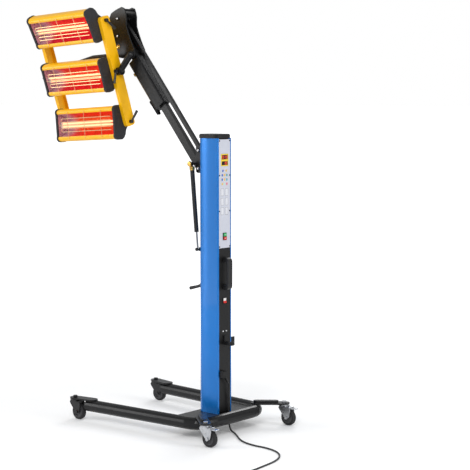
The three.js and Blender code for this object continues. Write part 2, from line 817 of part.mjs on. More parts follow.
function armBar(halfHeight, halfWidth, wall) {
  const a = arm;
  const reach = a.length - a.lugStart;
  const outer = block([a.lugStart, -halfWidth, -halfHeight], [reach, halfWidth, halfHeight]);
  const hollow = block(
    [0, wall - halfWidth, wall - halfHeight],
    [a.length, halfWidth - wall, halfHeight - wall],
  );
  let bar = outer.subtract(hollow);
  for (const at of [0, a.length]) {
    const lugHalf = rail.earInner - 2 * seat;
    bar = bar.add(rod([at, -lugHalf, 0], [at, lugHalf, 0], a.lugRadius, round));
  }
  for (const at of [0, a.length]) {
    bar = bar.subtract(rod([at, -a.length, 0], [at, a.length, 0], a.pinRadius + play));
  }
  for (const at of [a.drainInset, a.length - a.drainInset]) {
    bar = bar.subtract(rod([at, 0, -halfHeight * 2], [at, 0, 0], a.drainRadius, 8));
  }
  return bar;
}
const upZ = arm.lowZ + arm.spread;
piece("lower_arm", onArm(armBar(arm.lowHalfHeight, arm.lowHalfWidth, arm.wall), arm.lowZ), finish.blackPaint);
piece("upper_link", onArm(armBar(arm.upHalfHeight, arm.upHalfWidth, arm.wall), upZ), finish.blackPaint);

function backRail() {
  const r = rail;
  const face = mast.back - seat;
  const inner = face - r.thickness;
  const solids = [block([inner, -r.halfWidth, r.bottom], [face, r.halfWidth, r.top])];
  for (const side of Object.values(sides)) {
    const faces = [side * r.earInner, side * r.halfWidth].sort((a, b) => a - b);
    const ear = soften(rectangle(r.earOut, r.earBottom, face - 1, r.earTop), r.earInner);
    solids.push(slab(ear, "y", ...faces));
  }
  for (const z of [arm.lowZ, upZ]) {
    solids.push(rod([arm.pivotX, -r.halfWidth - 1, z], [arm.pivotX, r.halfWidth + 1, z], arm.pinRadius));
    for (const side of Object.values(sides)) {
      const outer = side * (r.halfWidth + r.headThickness);
      solids.push(rod([arm.pivotX, side * r.earInner * 1.1, z], [arm.pivotX, outer, z], r.headRadius, 6));
    }
  }
  const near = strut.y + strut.eyeHalf + seat;
  const lug = block(
    [strut.footX - strut.eyeRadius, near, strut.footZ - strut.eyeRadius],
    [face - 1, near + r.thickness * 2, strut.footZ + strut.eyeRadius],
  );
  const bridge = block(
    [inner, near, strut.footZ - strut.eyeRadius],
    [face, 0, strut.footZ + strut.eyeRadius],
  );
  const pinEnd = strut.y - strut.eyeHalf - r.headThickness;
  const pin = rod([strut.footX, near + 1, strut.footZ], [strut.footX, pinEnd, strut.footZ], strut.pinRadius);
  const washer = rod(
    [strut.footX, pinEnd, strut.footZ],
    [strut.footX, strut.y - strut.eyeHalf - seat, strut.footZ],
    strut.pinRadius + 3,
  );
  return union([...solids, lug, bridge, pin, washer]);
}
piece("back_rail", backRail(), finish.blackPaint);

const studX = arm.pivotX + armAlong.x * strut.studAlong + armAcross.x * strut.studBelow;
const studZ = arm.lowZ + armAlong.z * strut.studAlong + armAcross.z * strut.studBelow;
const strutFoot = new THREE.Vector3(strut.footX, strut.y, strut.footZ);
const strutTop = new THREE.Vector3(studX, strut.y, studZ);
const strutAlong = strutTop.clone().sub(strutFoot).normalize();
const onStrut = (distance) => strutFoot.clone().addScaledVector(strutAlong, distance).toArray();
const strutLength = strutFoot.distanceTo(strutTop);

function eye([x, , z]) {
  const [low, high] = [strut.y - strut.eyeHalf, strut.y + strut.eyeHalf];
  return rod([x, low, z], [x, high, z], strut.eyeRadius, coarse);
}
const pistonLength = strutLength * 0.62;
const rodSolid = eye(strutFoot.toArray())
  .add(rod(onStrut(strut.eyeRadius / 2), onStrut(pistonLength), strut.rodRadius))
  .subtract(
    rod(
      [strut.footX, strut.y * 2, strut.footZ],
      [strut.footX, 0, strut.footZ],
      strut.pinRadius + play,
    ),
  );
piece("strut_rod", rodSolid, finish.chrome);

const studEnd = -arm.lowHalfWidth - seat - play / 2;
const barrel = rod(onStrut(strut.bare), onStrut(strutLength - strut.eyeRadius * 1.6), strut.cylinderRadius, round);
const bore = rod(onStrut(strut.bare - 1), onStrut(strutLength * 0.8), strut.rodRadius + play);
const neckOfStrut = rod(onStrut(strutLength - strut.eyeRadius * 3), strutTop.toArray(), strut.rodRadius + 1);
const stud = rod([studX, strut.y, studZ], [studX, studEnd, studZ], strut.pinRadius);
const strutNut = rod(
  [studX, strut.y - strut.eyeHalf * 1.7, studZ],
  [studX, strut.y, studZ],
  strut.pinRadius + 3,
  6,
);
piece(
  "strut_cylinder",
  union([barrel.subtract(bore), neckOfStrut, eye(strutTop.toArray()), stud, strutNut]),
  finish.blackPaint,
);

// Cover over the head end of the lower arm, and the bright rod carried under it
const armCover = { headInset: 148, length: 294, below: -42, above: 29, halfWidth: 27, wall: 3, corner: 8 };
armCover.to = arm.length - armCover.headInset;
armCover.from = armCover.to - armCover.length;
function coverShell() {
  const c = armCover;
  const ring = (inset) =>
    soften(
      rectangle(inset - c.halfWidth, c.below + inset, c.halfWidth - inset, c.above - inset),
      c.corner,
      2,
    );
  const shell = slab(ring(0), "x", c.from, c.to).subtract(
    slab(ring(c.wall), "x", c.from + c.wall, c.to - c.wall),
  );
  const [high, half] = [arm.lowHalfHeight + play, arm.lowHalfWidth + play];
  return shell.subtract(block([0, -half, -high], [arm.length, half, high]));
}
piece("arm_cover", onArm(coverShell(), arm.lowZ), finish.blackPlastic);

const armRod = { startInset: 60, endInset: 56, below: -54, radius: 5, footOut: 16, footRadius: 9, lugHalf: 8 };
armRod.from = armCover.from + armRod.startInset;
armRod.to = armCover.to - armRod.endInset;
armRod.footEnd = armCover.from - armRod.footOut;
function brightRod() {
  const r = armRod;
  const lugTop = armCover.below - seat;
  const bar = rod([r.from, 0, r.below], [r.to, 0, r.below], r.radius);
  const endLug = block([r.to - r.lugHalf, -r.lugHalf, r.below - r.lugHalf], [r.to + r.lugHalf, r.lugHalf, lugTop]);
  const foot = slab(
    soften(
      [
        [r.from + r.footRadius, r.below - r.footRadius],
        [r.from + r.footRadius, lugTop],
        [armCover.from + r.footRadius, lugTop],
        [r.footEnd, lugTop - r.footRadius],
        [r.footEnd, lugTop - 2 * r.footRadius],
      ],
      r.footRadius / 2,
    ),
    "y",
    -r.footRadius,
    r.footRadius,
  );
  return union([bar, endLug, foot]);
}
piece("arm_rod", onArm(brightRod(), arm.lowZ), finish.chrome);

// End bracket: two cheeks and a back web that stay upright while the arm lifts
const couplerX = arm.pivotX + armAlong.x * arm.length;
const couplerLowZ = arm.lowZ + armAlong.z * arm.length;
const bracketReach = { left: 68.2, right: 119.8, down: 114.4, up: 145.6 };
const bracket = {
  inner: 34,
  thickness: 6,
  left: couplerX - bracketReach.left,
  right: couplerX + bracketReach.right,
  bottom: couplerLowZ - bracketReach.down,
  top: couplerLowZ + bracketReach.up,
  bossRadius: 12,
  web: 5,
  boltRadius: 9,
  boltThickness: 5,
  spacerInset: 96,
  spacerDrop: 15,
  spacerRadius: 6,
};
bracket.spacerX = bracket.left + bracket.spacerInset;
bracket.spacerZ = bracket.top - bracket.spacerDrop;
const bracketShares = [
  [0.34, 0.03],
  [0.24, 0.24],
  [0.08, 0.48],
  [0, 0.7],
  [0.04, 0.84],
  [0.17, 0.92],
  [0.3, 0.94],
  [0.43, 0.99],
  [0.56, 1],
  [0.62, 0.94],
  [0.65, 0.85],
  [0.68, 0.77],
  [0.64, 0.68],
  [0.72, 0.52],
  [0.86, 0.3],
  [1, 0.13],
  [0.95, 0],
  [0.66, 0],
];
const webFrom = 1;
const webTo = 6;

function endBracket() {
  const b = bracket;
  const outline = fill(bracketShares, [b.left, b.bottom], [b.right, b.top]);
  const outer = b.inner + b.thickness;
  const solids = [];
  for (const side of Object.values(sides)) {
    const faces = [side * b.inner, side * outer].sort((p, q) => p - q);
    solids.push(slab(soften(outline, b.web * 3, 1), "y", ...faces));
    for (const z of [couplerLowZ, couplerLowZ + arm.spread]) {
      solids.push(rod([couplerX, side * rail.earInner, z], [couplerX, side * (b.inner + 1), z], b.bossRadius));
      solids.push(
        rod([couplerX, side * (outer - 1), z], [couplerX, side * (outer + b.boltThickness), z], b.boltRadius, 6),
      );
      solids.push(rod([couplerX, 0, z], [couplerX, side * outer, z], arm.pinRadius));
    }
  }
  const inset = outline.slice(webFrom, webTo).map(([x, z]) => {
    const towards = [couplerX - x, couplerLowZ + arm.spread / 2 - z];
    const length = Math.hypot(...towards);
    return [x + (towards[0] / length) * b.web, z + (towards[1] / length) * b.web];
  });
  solids.push(slab(ribbon(inset, b.web), "y", -b.inner - 1, b.inner + 1));
  solids.push(rod([b.spacerX, -b.inner - 1, b.spacerZ], [b.spacerX, b.inner + 1, b.spacerZ], b.spacerRadius));
  return union(solids);
}
piece("end_bracket", endBracket(), finish.blackPaint);

// Neck: a flange on the near cheek, a slanted tube, and the hub that clamps the lamp frame.
// The neck stands turned by a few degrees on its flange, and the lamp frame is tilted in the hub.
const neck = {
  inset: 16,
  up: 20,
  flangeRadius: 20,
  flangeThickness: 7,
  tubeRadius: 16.5,
  hubRadius: 20,
  hubLength: 30,
  hubAhead: 69.7,
  hubBelow: 79,
  hubWall: 5,
  studRadius: 7,
  turn: 3 * degree,
};
neck.flangeX = bracket.right - neck.inset;
neck.flangeZ = bracket.bottom + neck.up;
neck.hubLeft = neck.flangeX - neck.hubAhead;
neck.hubRight = neck.hubLeft + neck.hubLength;
const tilt = { y: -80, z: neck.flangeZ - neck.hubBelow, angle: 16 * degree };

// Turn a solid with the neck about the flange.
function onNeck(solid) {
  const matrix = new THREE.Matrix4().makeTranslation(neck.flangeX, 0, neck.flangeZ);
  matrix.multiply(new THREE.Matrix4().makeRotationY(-neck.turn));
  matrix.multiply(new THREE.Matrix4().makeTranslation(-neck.flangeX, 0, -neck.flangeZ));
  return solid.transform(matrix.elements);
}
function headNeck() {
  const n = neck;
  const face = -bracket.inner - bracket.thickness - seat;
  const flange = rod([n.flangeX, face, n.flangeZ], [n.flangeX, face - n.flangeThickness, n.flangeZ], n.flangeRadius, round);
  const knuckle = [n.flangeX, face - n.tubeRadius, n.flangeZ];
  const hubMiddle = [(n.hubLeft + n.hubRight) / 2, tilt.y, tilt.z];
  const stem = rod([n.flangeX, face - 1, n.flangeZ], knuckle, n.tubeRadius, round);
  const elbow = new THREE.SphereGeometry(n.tubeRadius, round, coarse / 2);
  elbow.translate(...knuckle);
  const slant = rod(knuckle, hubMiddle, n.tubeRadius, round);
  const hub = rod([n.hubLeft, tilt.y, tilt.z], [n.hubRight, tilt.y, tilt.z], n.hubRadius, round);
  const bore = rod(
    [n.hubLeft - 1, tilt.y, tilt.z],
    [n.hubRight - n.hubWall, tilt.y, tilt.z],
    n.studRadius + play,
  );
  return onNeck(union([flange, stem, solidOf(elbow), slant, hub]).subtract(bore));
}
piece("head_neck", headNeck(), finish.blackPaint);

// Clamp levers of the lamp frame: a hub and a tapered handle
const lever = { hubRadius: 9, hubLength: 15, rootRadius: 5, tipRadius: 7, length: 62 };
function handLever(at, axis, along, length) {
  const start = new THREE.Vector3(...at);
  const top = start.clone().addScaledVector(axis, lever.hubLength);
  const root = start.clone().addScaledVector(axis, lever.hubLength * 0.6);
  const lean = along.clone().addScaledVector(axis, 1 / 4).normalize();
  const tip = root.clone().addScaledVector(lean, length);
  const hub = rod(start.toArray(), top.toArray(), lever.hubRadius);
  return hub.add(rod(root.toArray(), tip.toArray(), lever.rootRadius, coarse, lever.tipRadius));
}
const neckLeverX = (neck.hubLeft + neck.hubRight) / 2;
const neckLeverAt = [neckLeverX, tilt.y - neck.hubRadius - seat, tilt.z];
const neckLever = handLever(neckLeverAt, Y.clone().negate(), Z.clone().negate(), lever.length);
piece("neck_clamp_lever", onNeck(neckLever), finish.blackPlastic);

// Lamp frame, drawn upright about the tilt axis, then tilted, then turned with the neck: two yellow
// channels outside the lamps' end caps, with their webs outwards, and a cross tube behind the lamps.
function onHead(solid, swing = 0, at = 0) {
  const local = new THREE.Matrix4().makeRotationX(swing).setPosition(0, 0, at);
  const matrix = new THREE.Matrix4().makeRotationX(tilt.angle).setPosition(0, tilt.y, tilt.z);
  return onNeck(solid.transform(matrix.multiply(local).elements));
}
const lampPitch = 261;
const capThickness = 12;
const bar = { thickness: 20, depth: 62, overhang: 21, wall: 3, end: 18, apart: 436 };
bar.halfLength = lampPitch + bar.overhang;
bar.rightInner = neck.hubLeft - seat - bar.thickness;
bar.leftInner = bar.rightInner - bar.apart;
const lampPin = { radius: 5, bossRadius: 10, inside: 3, headRadius: 8, headThickness: 4 };
const cross = { radius: 9.5, y: 19, rightZ: 80, leftZ: 44, bend: 60, bendSteps: 4, run: 150, end: 60 };
cross.flange = bar.depth / 2 - cross.y;
cross.flangeThickness = 4;

function frameBar(inner, outward, pins, crossZ) {
  const outer = inner + outward * bar.thickness;
  const web = outer - outward * bar.wall;
  const half = bar.depth / 2;
  const sorted = (u, v) => [u, v].sort((p, q) => p - q);
  const outline = soften(rectangle(-half, -bar.halfLength, half, bar.halfLength), bar.end, 4);
  const [y, z] = [half - bar.wall, bar.halfLength - bar.wall];
  const pocket = soften(rectangle(-y, -z, y, z), bar.end - bar.wall, 4);
  const pan = slab(outline, "x", ...sorted(inner, outer)).subtract(
    slab(pocket, "x", ...sorted(inner - outward, web)),
  );
  const solids = [pan, rod([inner, cross.y, crossZ], [web + outward, cross.y, crossZ], cross.radius)];
  const reach = seat + capThickness + lampPin.inside;
  for (const { at, radius, out } of pins) {
    solids.push(rod([inner, 0, at], [web + outward, 0, at], lampPin.bossRadius));
    solids.push(rod([inner - outward * reach, 0, at], [web, 0, at], lampPin.radius));
    solids.push(rod([web, 0, at], [outer + outward * out, 0, at], radius));
  }
  return union(solids);
}
const leverStud = { radius: lampPin.radius, out: lever.hubLength / 2 };
const neckStud = { radius: neck.studRadius, out: seat + neck.hubLength - neck.hubWall - seat };
const boltHead = { radius: lampPin.headRadius, out: lampPin.headThickness };
const sideHandle = { radius: 4.5, out: 84 };
const rightBar = frameBar(
  bar.rightInner,
  1,
  [
    { at: lampPitch, ...leverStud },
    { at: 0, ...neckStud },
    { at: -lampPitch, ...leverStud },
  ],
  cross.rightZ,
);
const leftBar = frameBar(
  bar.leftInner,
  -1,
  [
    { at: lampPitch, ...boltHead },
    { at: 0, ...sideHandle },
    { at: -lampPitch, ...boltHead },
  ],
  cross.leftZ,
);
piece("head_bar_right", onHead(rightBar), finish.yellowPaint);
piece("head_bar_left", onHead(leftBar), finish.yellowPaint);

function crossTube() {
  const c = cross;
  const rightEnd = bar.rightInner - seat;
  const leftEnd = bar.leftInner + seat;
  const route = bent(
    [
      [rightEnd, c.y, c.rightZ],
      [rightEnd - c.run, c.y, c.rightZ],
      [leftEnd + c.end, c.y, c.leftZ],
      [leftEnd, c.y, c.leftZ],
    ],
    c.bend,
    c.bendSteps,
  );
  return union([
    tube(route, c.radius, coarse),
    rod([rightEnd, c.y, c.rightZ], [rightEnd - c.flangeThickness, c.y, c.rightZ], c.flange),
    rod([leftEnd, c.y, c.leftZ], [leftEnd + c.flangeThickness, c.y, c.leftZ], c.flange),
  ]);
}
piece("cross_tube", onHead(crossTube()), finish.blackPaint);

// Lamp cassettes. Each is drawn about its own pivot with its window to -Y.
const lamp = {
  back: -12,
  front: -92,
  halfHeight: 84,
  halfOpening: 58,
  sheet: 2.5,
  capOut: 3,
  earRadius: 15,
  swing: { top: 9 * degree, middle: 0, bottom: -14 * degree },
  at: { top: lampPitch, middle: 0, bottom: -lampPitch },
};
lamp.right = bar.rightInner - seat - capThickness - seat;
lamp.left = bar.leftInner + seat + capThickness + seat;
const lampDepth = lamp.back - lamp.front;

// Half outlines as shares: first of the depth from the back, then of the half height.
const housingShares = [
  [0, 0],
  [0, 0.44],
  [0.09, 0.7],
  [0.24, 0.9],
  [0.42, 0.985],
  [0.7, 0.985],
  [0.87, 0.95],
  [0.97, 0.87],
  [1, 0.79],
  [0.96, 0.7],
];
const reflectorShares = [
  [0.06, 0],
  [0.06, 0.2],
  [0.16, 0.36],
  [0.44, 0.56],
  [0.84, 0.72],
];
const capShares = [
  [0, 0.46],
  [0.08, 0.74],
  [0.22, 0.94],
  [0.4, 1.04],
  [0.72, 1.04],
  [0.9, 1],
  [1.01, 0.89],
  [1.035, 0.78],
  [1.0, 0.66],
];
const lampPoints = (shares) =>
  fill(
    shares.map(([depth, height]) => [depth, height]),
    [lamp.back, 0],
    [lamp.front, lamp.halfHeight],
  );
const bothHalves = (half) => [...flipped(half).slice(0, half[0][1] ? undefined : -1), ...half];

function lampCap(left) {
  const half = lampPoints(capShares);
  const ear = arc([0, 0], lamp.earRadius, -50 * degree, 50 * degree, 6);
  const outline = [...ear, ...half, ...flipped(half)];
  const [low, high] = left
    ? [bar.leftInner + seat, bar.leftInner + seat + capThickness]
    : [bar.rightInner - seat - capThickness, bar.rightInner - seat];
  return slab(outline, "x", low, high);
}

const guard = { wire: 1.5, sides: 6, rows: [13, 27], crossAt: [0.2, 0.5, 0.8], reach: 71, inset: 34 };
function wireGuard() {
  const g = guard;
  const crossY = lamp.front - lamp.sheet / 2 - g.wire - seat;
  const rowY = crossY - g.wire;
  const { left, right } = lamp;
  const solids = [];
  for (const share of g.crossAt) {
    const x = left + (right - left) * share;
    solids.push(rod([x, crossY, -g.reach], [x, crossY, g.reach], g.wire, g.sides));
  }
  solids.push(rod([left + g.inset / 2, rowY, 0], [right - g.inset / 4, rowY, 0], g.wire, g.sides));
  for (const side of Object.values(sides)) {
    const [low, high] = g.rows.map((row) => side * row * 1.25);
    const [l, r] = [left + g.inset, right - g.inset / 4];
    const hairpin = bent(
      [
        [r, rowY, low],
        [l, rowY, low],
        [l, rowY, high],
        [r, rowY, high],
      ],
      Math.abs(high - low) * 0.45,
      3,
    );
    solids.push(tube(hairpin, g.wire, g.sides));
  }
  return union(solids);
}

const heater = { radius: 5.5, apart: 8, y: -62, holderLength: 14, holderHalfHeight: 17, holderHalfDepth: 9, sides: 12 };
function quartzTubes() {
  const h = heater;
  const { left, right } = lamp;
  const solids = Object.values(sides).map((side) =>
    rod([left + 1, h.y, side * h.apart], [right - 1, h.y, side * h.apart], h.radius, h.sides),
  );
  for (const [low, high] of [[left, left + h.holderLength], [right - h.holderLength, right]]) {
    solids.push(
      block([low, h.y - h.holderHalfDepth, -h.holderHalfHeight], [high, h.y + h.holderHalfDepth, h.holderHalfHeight]),
    );
  }
  return union(solids);
}

function addLamp(name) {
  const place = (solid) => onHead(solid, lamp.swing[name], lamp.at[name]);
  const hole = rod([bar.leftInner * 2, 0, 0], [0, 0, 0], lampPin.radius + play);
  const housing = slab(
    ribbon(bothHalves(lampPoints(housingShares)), lamp.sheet),
    "x",
    lamp.left,
    lamp.right,
  );
  const trough = slab(
    ribbon(bothHalves(lampPoints(reflectorShares)), lamp.sheet / 2),
    "x",
    lamp.left,
    lamp.right,
  );
  piece(`lamp_${name}_housing`, place(housing), finish.yellowPaint);
  piece(`lamp_${name}_reflector`, place(trough), finish.reflector);
  piece(`lamp_${name}_cap_right`, place(lampCap(false).subtract(hole)), finish.blackPaint);
  piece(`lamp_${name}_cap_left`, place(lampCap(true).subtract(hole)), finish.blackPaint);
  piece(`lamp_${name}_guard`, place(wireGuard()), finish.wire);
  piece(`lamp_${name}_heater`, place(quartzTubes()), finish.quartz);
}
for (const name of ["top", "middle", "bottom"]) addLamp(name);

const leverX = bar.rightInner + bar.thickness + seat;
const leverLean = { top: [0, 0.72, -0.69], bottom: [0, 0.45, 0.89] };
for (const name of ["top", "bottom"]) {
  const along = new THREE.Vector3(...leverLean[name]).applyAxisAngle(X, -tilt.angle).normalize();
  const blind = rod([leverX - 1, 0, 0], [leverX + leverStud.out, 0, 0], lampPin.radius + play);
  const solid = handLever([leverX, 0, 0], X, along, lever.length).subtract(blind);
  piece(`lamp_${name}_lever`, onHead(solid, 0, lamp.at[name]), finish.blackPlastic);
}

// Mains cord: out of the sleeve, down the front of the mast, under the cross tube and away on the floor
const floorZ = cord.radius + seat;
const cordStart = sleeveTip.clone().addScaledVector(outlet, seat);
const leave = (distance) => cordStart.clone().addScaledVector(outlet, distance).toArray();
const coil = { x: 700, y: -620, middleRadius: 45, pitch: 8.8, turns: 6, steps: 24, sides: 6, layer: 8.8, tail: 44 };
const coilOuter = coil.middleRadius + (coil.pitch * coil.turns) / 4;
const coilStartX = coil.x - coilOuter;
const cordPoints = [
  cordStart.toArray(),
  leave(14),
  leave(26),
  [69, 15, 205],
  [67, 17, 170],
  [67, 17, 130],
  [67, 17, 90],
  [67.5, 16.5, 62],
  [71, 14.5, 36],
  [82, 9, 15],
  [100, 0, floorZ + 1],
  [127, -15, floorZ],
  [178, -52, floorZ],
  [230, -94, floorZ],
  [270, -119, floorZ],
  [313, -136, floorZ],
  [373, -146, floorZ],
  [430, -146, floorZ],
  [490, -158, floorZ],
  [545, -188, floorZ],
  [590, -240, floorZ],
  [618, -310, floorZ],
  [632, -400, floorZ],
  [coilStartX, -490, floorZ],
  [coilStartX, -560, floorZ],
  [coilStartX, coil.y + seat, floorZ],
];
const cordSteps = 54;
function sampled(curve, steps, first, last) {
  return Array.from({ length: steps + 1 }, (_, i) => ({
    point: curve.getPointAt(i / steps),
    along: i === 0 && first ? first.clone() : i === steps && last ? last.clone() : curve.getTangentAt(i / steps),
  }));
}
const cordCurve = new THREE.CatmullRomCurve3(
  cordPoints.map((point) => new THREE.Vector3(...point)),
  false,
  "centripetal",
);
cordCurve.arcLengthDivisions = 1200;
const cordSamples = sampled(cordCurve, cordSteps, outlet, Y.clone().negate());
piece("mains_cord", tube(cordSamples, cord.radius, cord.sides), finish.rubber);

// Coil: it spirals in on the floor, climbs where it turns round, and spirals out on top.
function coilSamples() {
  const c = coil;
  const half = c.turns * Math.PI;
  const inner = coilOuter - (c.pitch * c.turns) / 2;
  const point = (turnAngle) => {
    const away = turnAngle - half;
    const radius = inner + (c.pitch * Math.abs(away)) / (2 * Math.PI);
    const climb = Math.min(Math.max(away / Math.PI + 1 / 2, 0), 1);
    const lift = c.layer * climb * climb * (3 - 2 * climb);
    const angle = Math.PI + turnAngle;
    return new THREE.Vector3(
      c.x + radius * Math.cos(angle),
      c.y + radius * Math.sin(angle),
      floorZ + lift,
    );
  };
  const count = c.turns * c.steps;
  const points = Array.from({ length: count + 1 }, (_, i) => point((2 * half * i) / count));
  const last = points[count];
  points.push(last.clone().addScaledVector(Y, -c.tail / 2));
  points.push(last.clone().addScaledVector(Y, -c.tail));
  return points.map((at, i) => {
    const before = points[Math.max(i - 1, 0)];
    const after = points[Math.min(i + 1, points.length - 1)];
    const along = i === 0 || i >= count ? Y.clone().negate() : after.clone().sub(before).normalize();
    return { point: at, along };
  });
}
const coilPath = coilSamples();
piece("mains_cord_coil", tube(coilPath, cord.radius, coil.sides), finish.rubber);

function leastSelfGap(samples, skip) {
  let least = Infinity;
  for (let i = 0; i < samples.length; i += 1) {
    for (let j = i + skip; j < samples.length; j += 1) {
      least = Math.min(least, samples[i].point.distanceTo(samples[j].point));
    }
  }
  return least - 2 * cord.radius;
}
console.log("least gap inside the coil, mm:", leastSelfGap(coilPath, coil.steps / 2).toFixed(2));

// Plug: a flat-sided body with two round pins, lying beside the coil
const plug = { halfWidth: 19, halfHeight: 12.5, length: 36, neck: 14, pinRadius: 2.4, pinLength: 19, pinApart: 9.5, corner: 7 };
function mainsPlug() {
  const p = plug;
  const end = coilPath[coilPath.length - 1].point;
  const start = end.y - seat;
  const bodyY = start - p.neck;
  const section = soften(
    rectangle(end.x - p.halfWidth, end.z - p.halfHeight, end.x + p.halfWidth, end.z + p.halfHeight),
    p.corner,
  );
  const shape = slab(
    section.map(([u, v]) => [u, v]),
    "y",
    bodyY - p.length,
    bodyY,
  );
  const sleeve = rod([end.x, start, end.z], [end.x, bodyY - 1, end.z], cord.radius + 1, coarse, cord.radius + 4);
  const pins = Object.values(sides).map((side) => {
    const x = end.x + side * p.pinApart;
    return rod([x, bodyY - p.length + 1, end.z], [x, bodyY - p.length - p.pinLength, end.z], p.pinRadius, 8);
  });
  return union([shape, sleeve, ...pins]);
}
piece("mains_plug", mainsPlug(), finish.blackPlastic);

// Centre the part: the origin is the middle of its box at floor height, the cord left out of the box.
const cordNames = ["mains_cord", "mains_cord_coil", "mains_plug"];
const box = new THREE.Box3();
for (const mesh of part.children) {
  if (!cordNames.includes(mesh.name)) box.expandByObject(mesh, true);
}
const middle = box.getCenter(new THREE.Vector3());
for (const mesh of part.children) {
  mesh.geometry.translate(-middle.x, -middle.y, 0);
}
console.log("moved by, mm:", (-middle.x).toFixed(3), (-middle.y).toFixed(3));
console.log("size, mm:", box.getSize(new THREE.Vector3()).toArray().map((v) => v.toFixed(1)).join(" x "));
console.log("cord length, mm:", cordCurve.getLength().toFixed(0));

export default part;
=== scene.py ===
from math import cos, pi, radians, sin

import bpy
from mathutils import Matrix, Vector


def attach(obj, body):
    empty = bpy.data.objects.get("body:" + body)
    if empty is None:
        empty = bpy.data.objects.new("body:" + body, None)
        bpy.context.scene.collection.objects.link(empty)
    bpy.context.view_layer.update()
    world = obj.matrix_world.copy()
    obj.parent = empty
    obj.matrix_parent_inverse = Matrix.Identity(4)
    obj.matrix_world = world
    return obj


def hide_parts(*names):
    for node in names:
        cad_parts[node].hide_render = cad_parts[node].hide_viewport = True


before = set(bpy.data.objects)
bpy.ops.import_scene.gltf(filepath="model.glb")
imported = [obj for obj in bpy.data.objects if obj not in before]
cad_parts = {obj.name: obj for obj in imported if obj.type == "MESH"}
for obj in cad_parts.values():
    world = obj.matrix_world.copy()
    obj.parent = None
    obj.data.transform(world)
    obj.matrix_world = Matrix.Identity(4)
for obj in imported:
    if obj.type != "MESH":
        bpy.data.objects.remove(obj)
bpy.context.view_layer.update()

# Camera and studio
# The lamp stands on a pale floor. The camera stands on the operator's side, above the mast's
# top, and looks a little down through a long lens. mast_x is where the middle of the mast stands.
mast_x = 0.436642
camera_data = bpy.data.cameras.new("studio_camera")
camera_data.lens = 107.5
camera_data.sensor_width = 36
camera_data.clip_end = 400
camera = bpy.data.objects.new("studio_camera", camera_data)
camera.location = (4.471 + mast_x, -5.051, 1.614)
camera.rotation_euler = (radians(84.4), 0, radians(40.73))
bpy.context.scene.collection.objects.link(camera)
bpy.context.scene.camera = camera
bpy.context.scene.view_settings.view_transform = "Standard"


def add_node(tree, kind, operation=None, **inputs):
    # A shader node, with its operation and the values of its sockets.
    made = tree.nodes.new("ShaderNode" + kind)
    if operation:
        made.operation = operation
    for name, value in inputs.items():
        made.inputs[name.replace("_", " ")].default_value = value
    return made


def backdrop_share(tree):
    # 1 where the camera sees the surface, straight or through glass, 0 where it lights something.
    path = add_node(tree, "LightPath")
    seen = add_node(tree, "Math", "MAXIMUM")
    tree.links.new(path.outputs["Is Camera Ray"], seen.inputs[0])
    tree.links.new(path.outputs["Is Transmission Ray"], seen.inputs[1])
    return seen.outputs[0]


world = bpy.data.worlds.new("studio_world")
bpy.context.scene.world = world
world.use_nodes = True
sky = world.node_tree
sky.nodes.clear()
soft_light = add_node(sky, "Background", Color=(0.96, 0.98, 1, 1), Strength=0.5)
white_wall = add_node(sky, "Background", Color=(1, 1, 1, 1), Strength=1.0)
sky_mix = add_node(sky, "MixShader")
sky_out = add_node(sky, "OutputWorld")
sky.links.new(backdrop_share(sky), sky_mix.inputs[0])
sky.links.new(soft_light.outputs[0], sky_mix.inputs[1])
sky.links.new(white_wall.outputs[0], sky_mix.inputs[2])
sky.links.new(sky_mix.outputs[0], sky_out.inputs[0])

# The floor glows a little more with distance, so that its far parts run into the white wall and
# only the shadow under the base shows.
floor_size = 400
shadow_reach, white_from = 0.9, 3.2
near_glow, far_glow = 0.085, 0.75
bpy.ops.object.select_all(action="DESELECT")
bpy.ops.mesh.primitive_plane_add(size=floor_size, location=(0, 0, 0))
floor = bpy.context.object
floor.name = "studio_floor"
floor_paint = bpy.data.materials.new("studio_floor")
floor_paint.use_nodes = True
paint = floor_paint.node_tree
floor_shader = paint.nodes["Principled BSDF"]
floor_shader.inputs["Base Color"].default_value = (0.96, 0.96, 0.96, 1)
floor_shader.inputs["Roughness"].default_value = 0.7
floor_glow = add_node(paint, "Emission", Color=(1, 1, 1, 1))
floor_place = add_node(paint, "TexCoord")
floor_reach = add_node(paint, "VectorMath", "LENGTH")
floor_fade = add_node(
    paint, "MapRange", From_Min=shadow_reach, From_Max=white_from, To_Min=near_glow, To_Max=far_glow
)
paint.links.new(floor_place.outputs["Object"], floor_reach.inputs[0])
paint.links.new(floor_reach.outputs["Value"], floor_fade.inputs["Value"])
paint.links.new(floor_fade.outputs["Result"], floor_glow.inputs["Strength"])
floor_sum = add_node(paint, "AddShader")
floor_mix = add_node(paint, "MixShader")
floor_out = paint.nodes["Material Output"]
paint.links.new(floor_shader.outputs[0], floor_sum.inputs[0])
paint.links.new(floor_glow.outputs[0], floor_sum.inputs[1])
paint.links.new(backdrop_share(paint), floor_mix.inputs[0])
paint.links.new(floor_shader.outputs[0], floor_mix.inputs[1])
paint.links.new(floor_sum.outputs[0], floor_mix.inputs[2])
paint.links.new(floor_mix.outputs[0], floor_out.inputs["Surface"])
floor.data.materials.append(floor_paint)

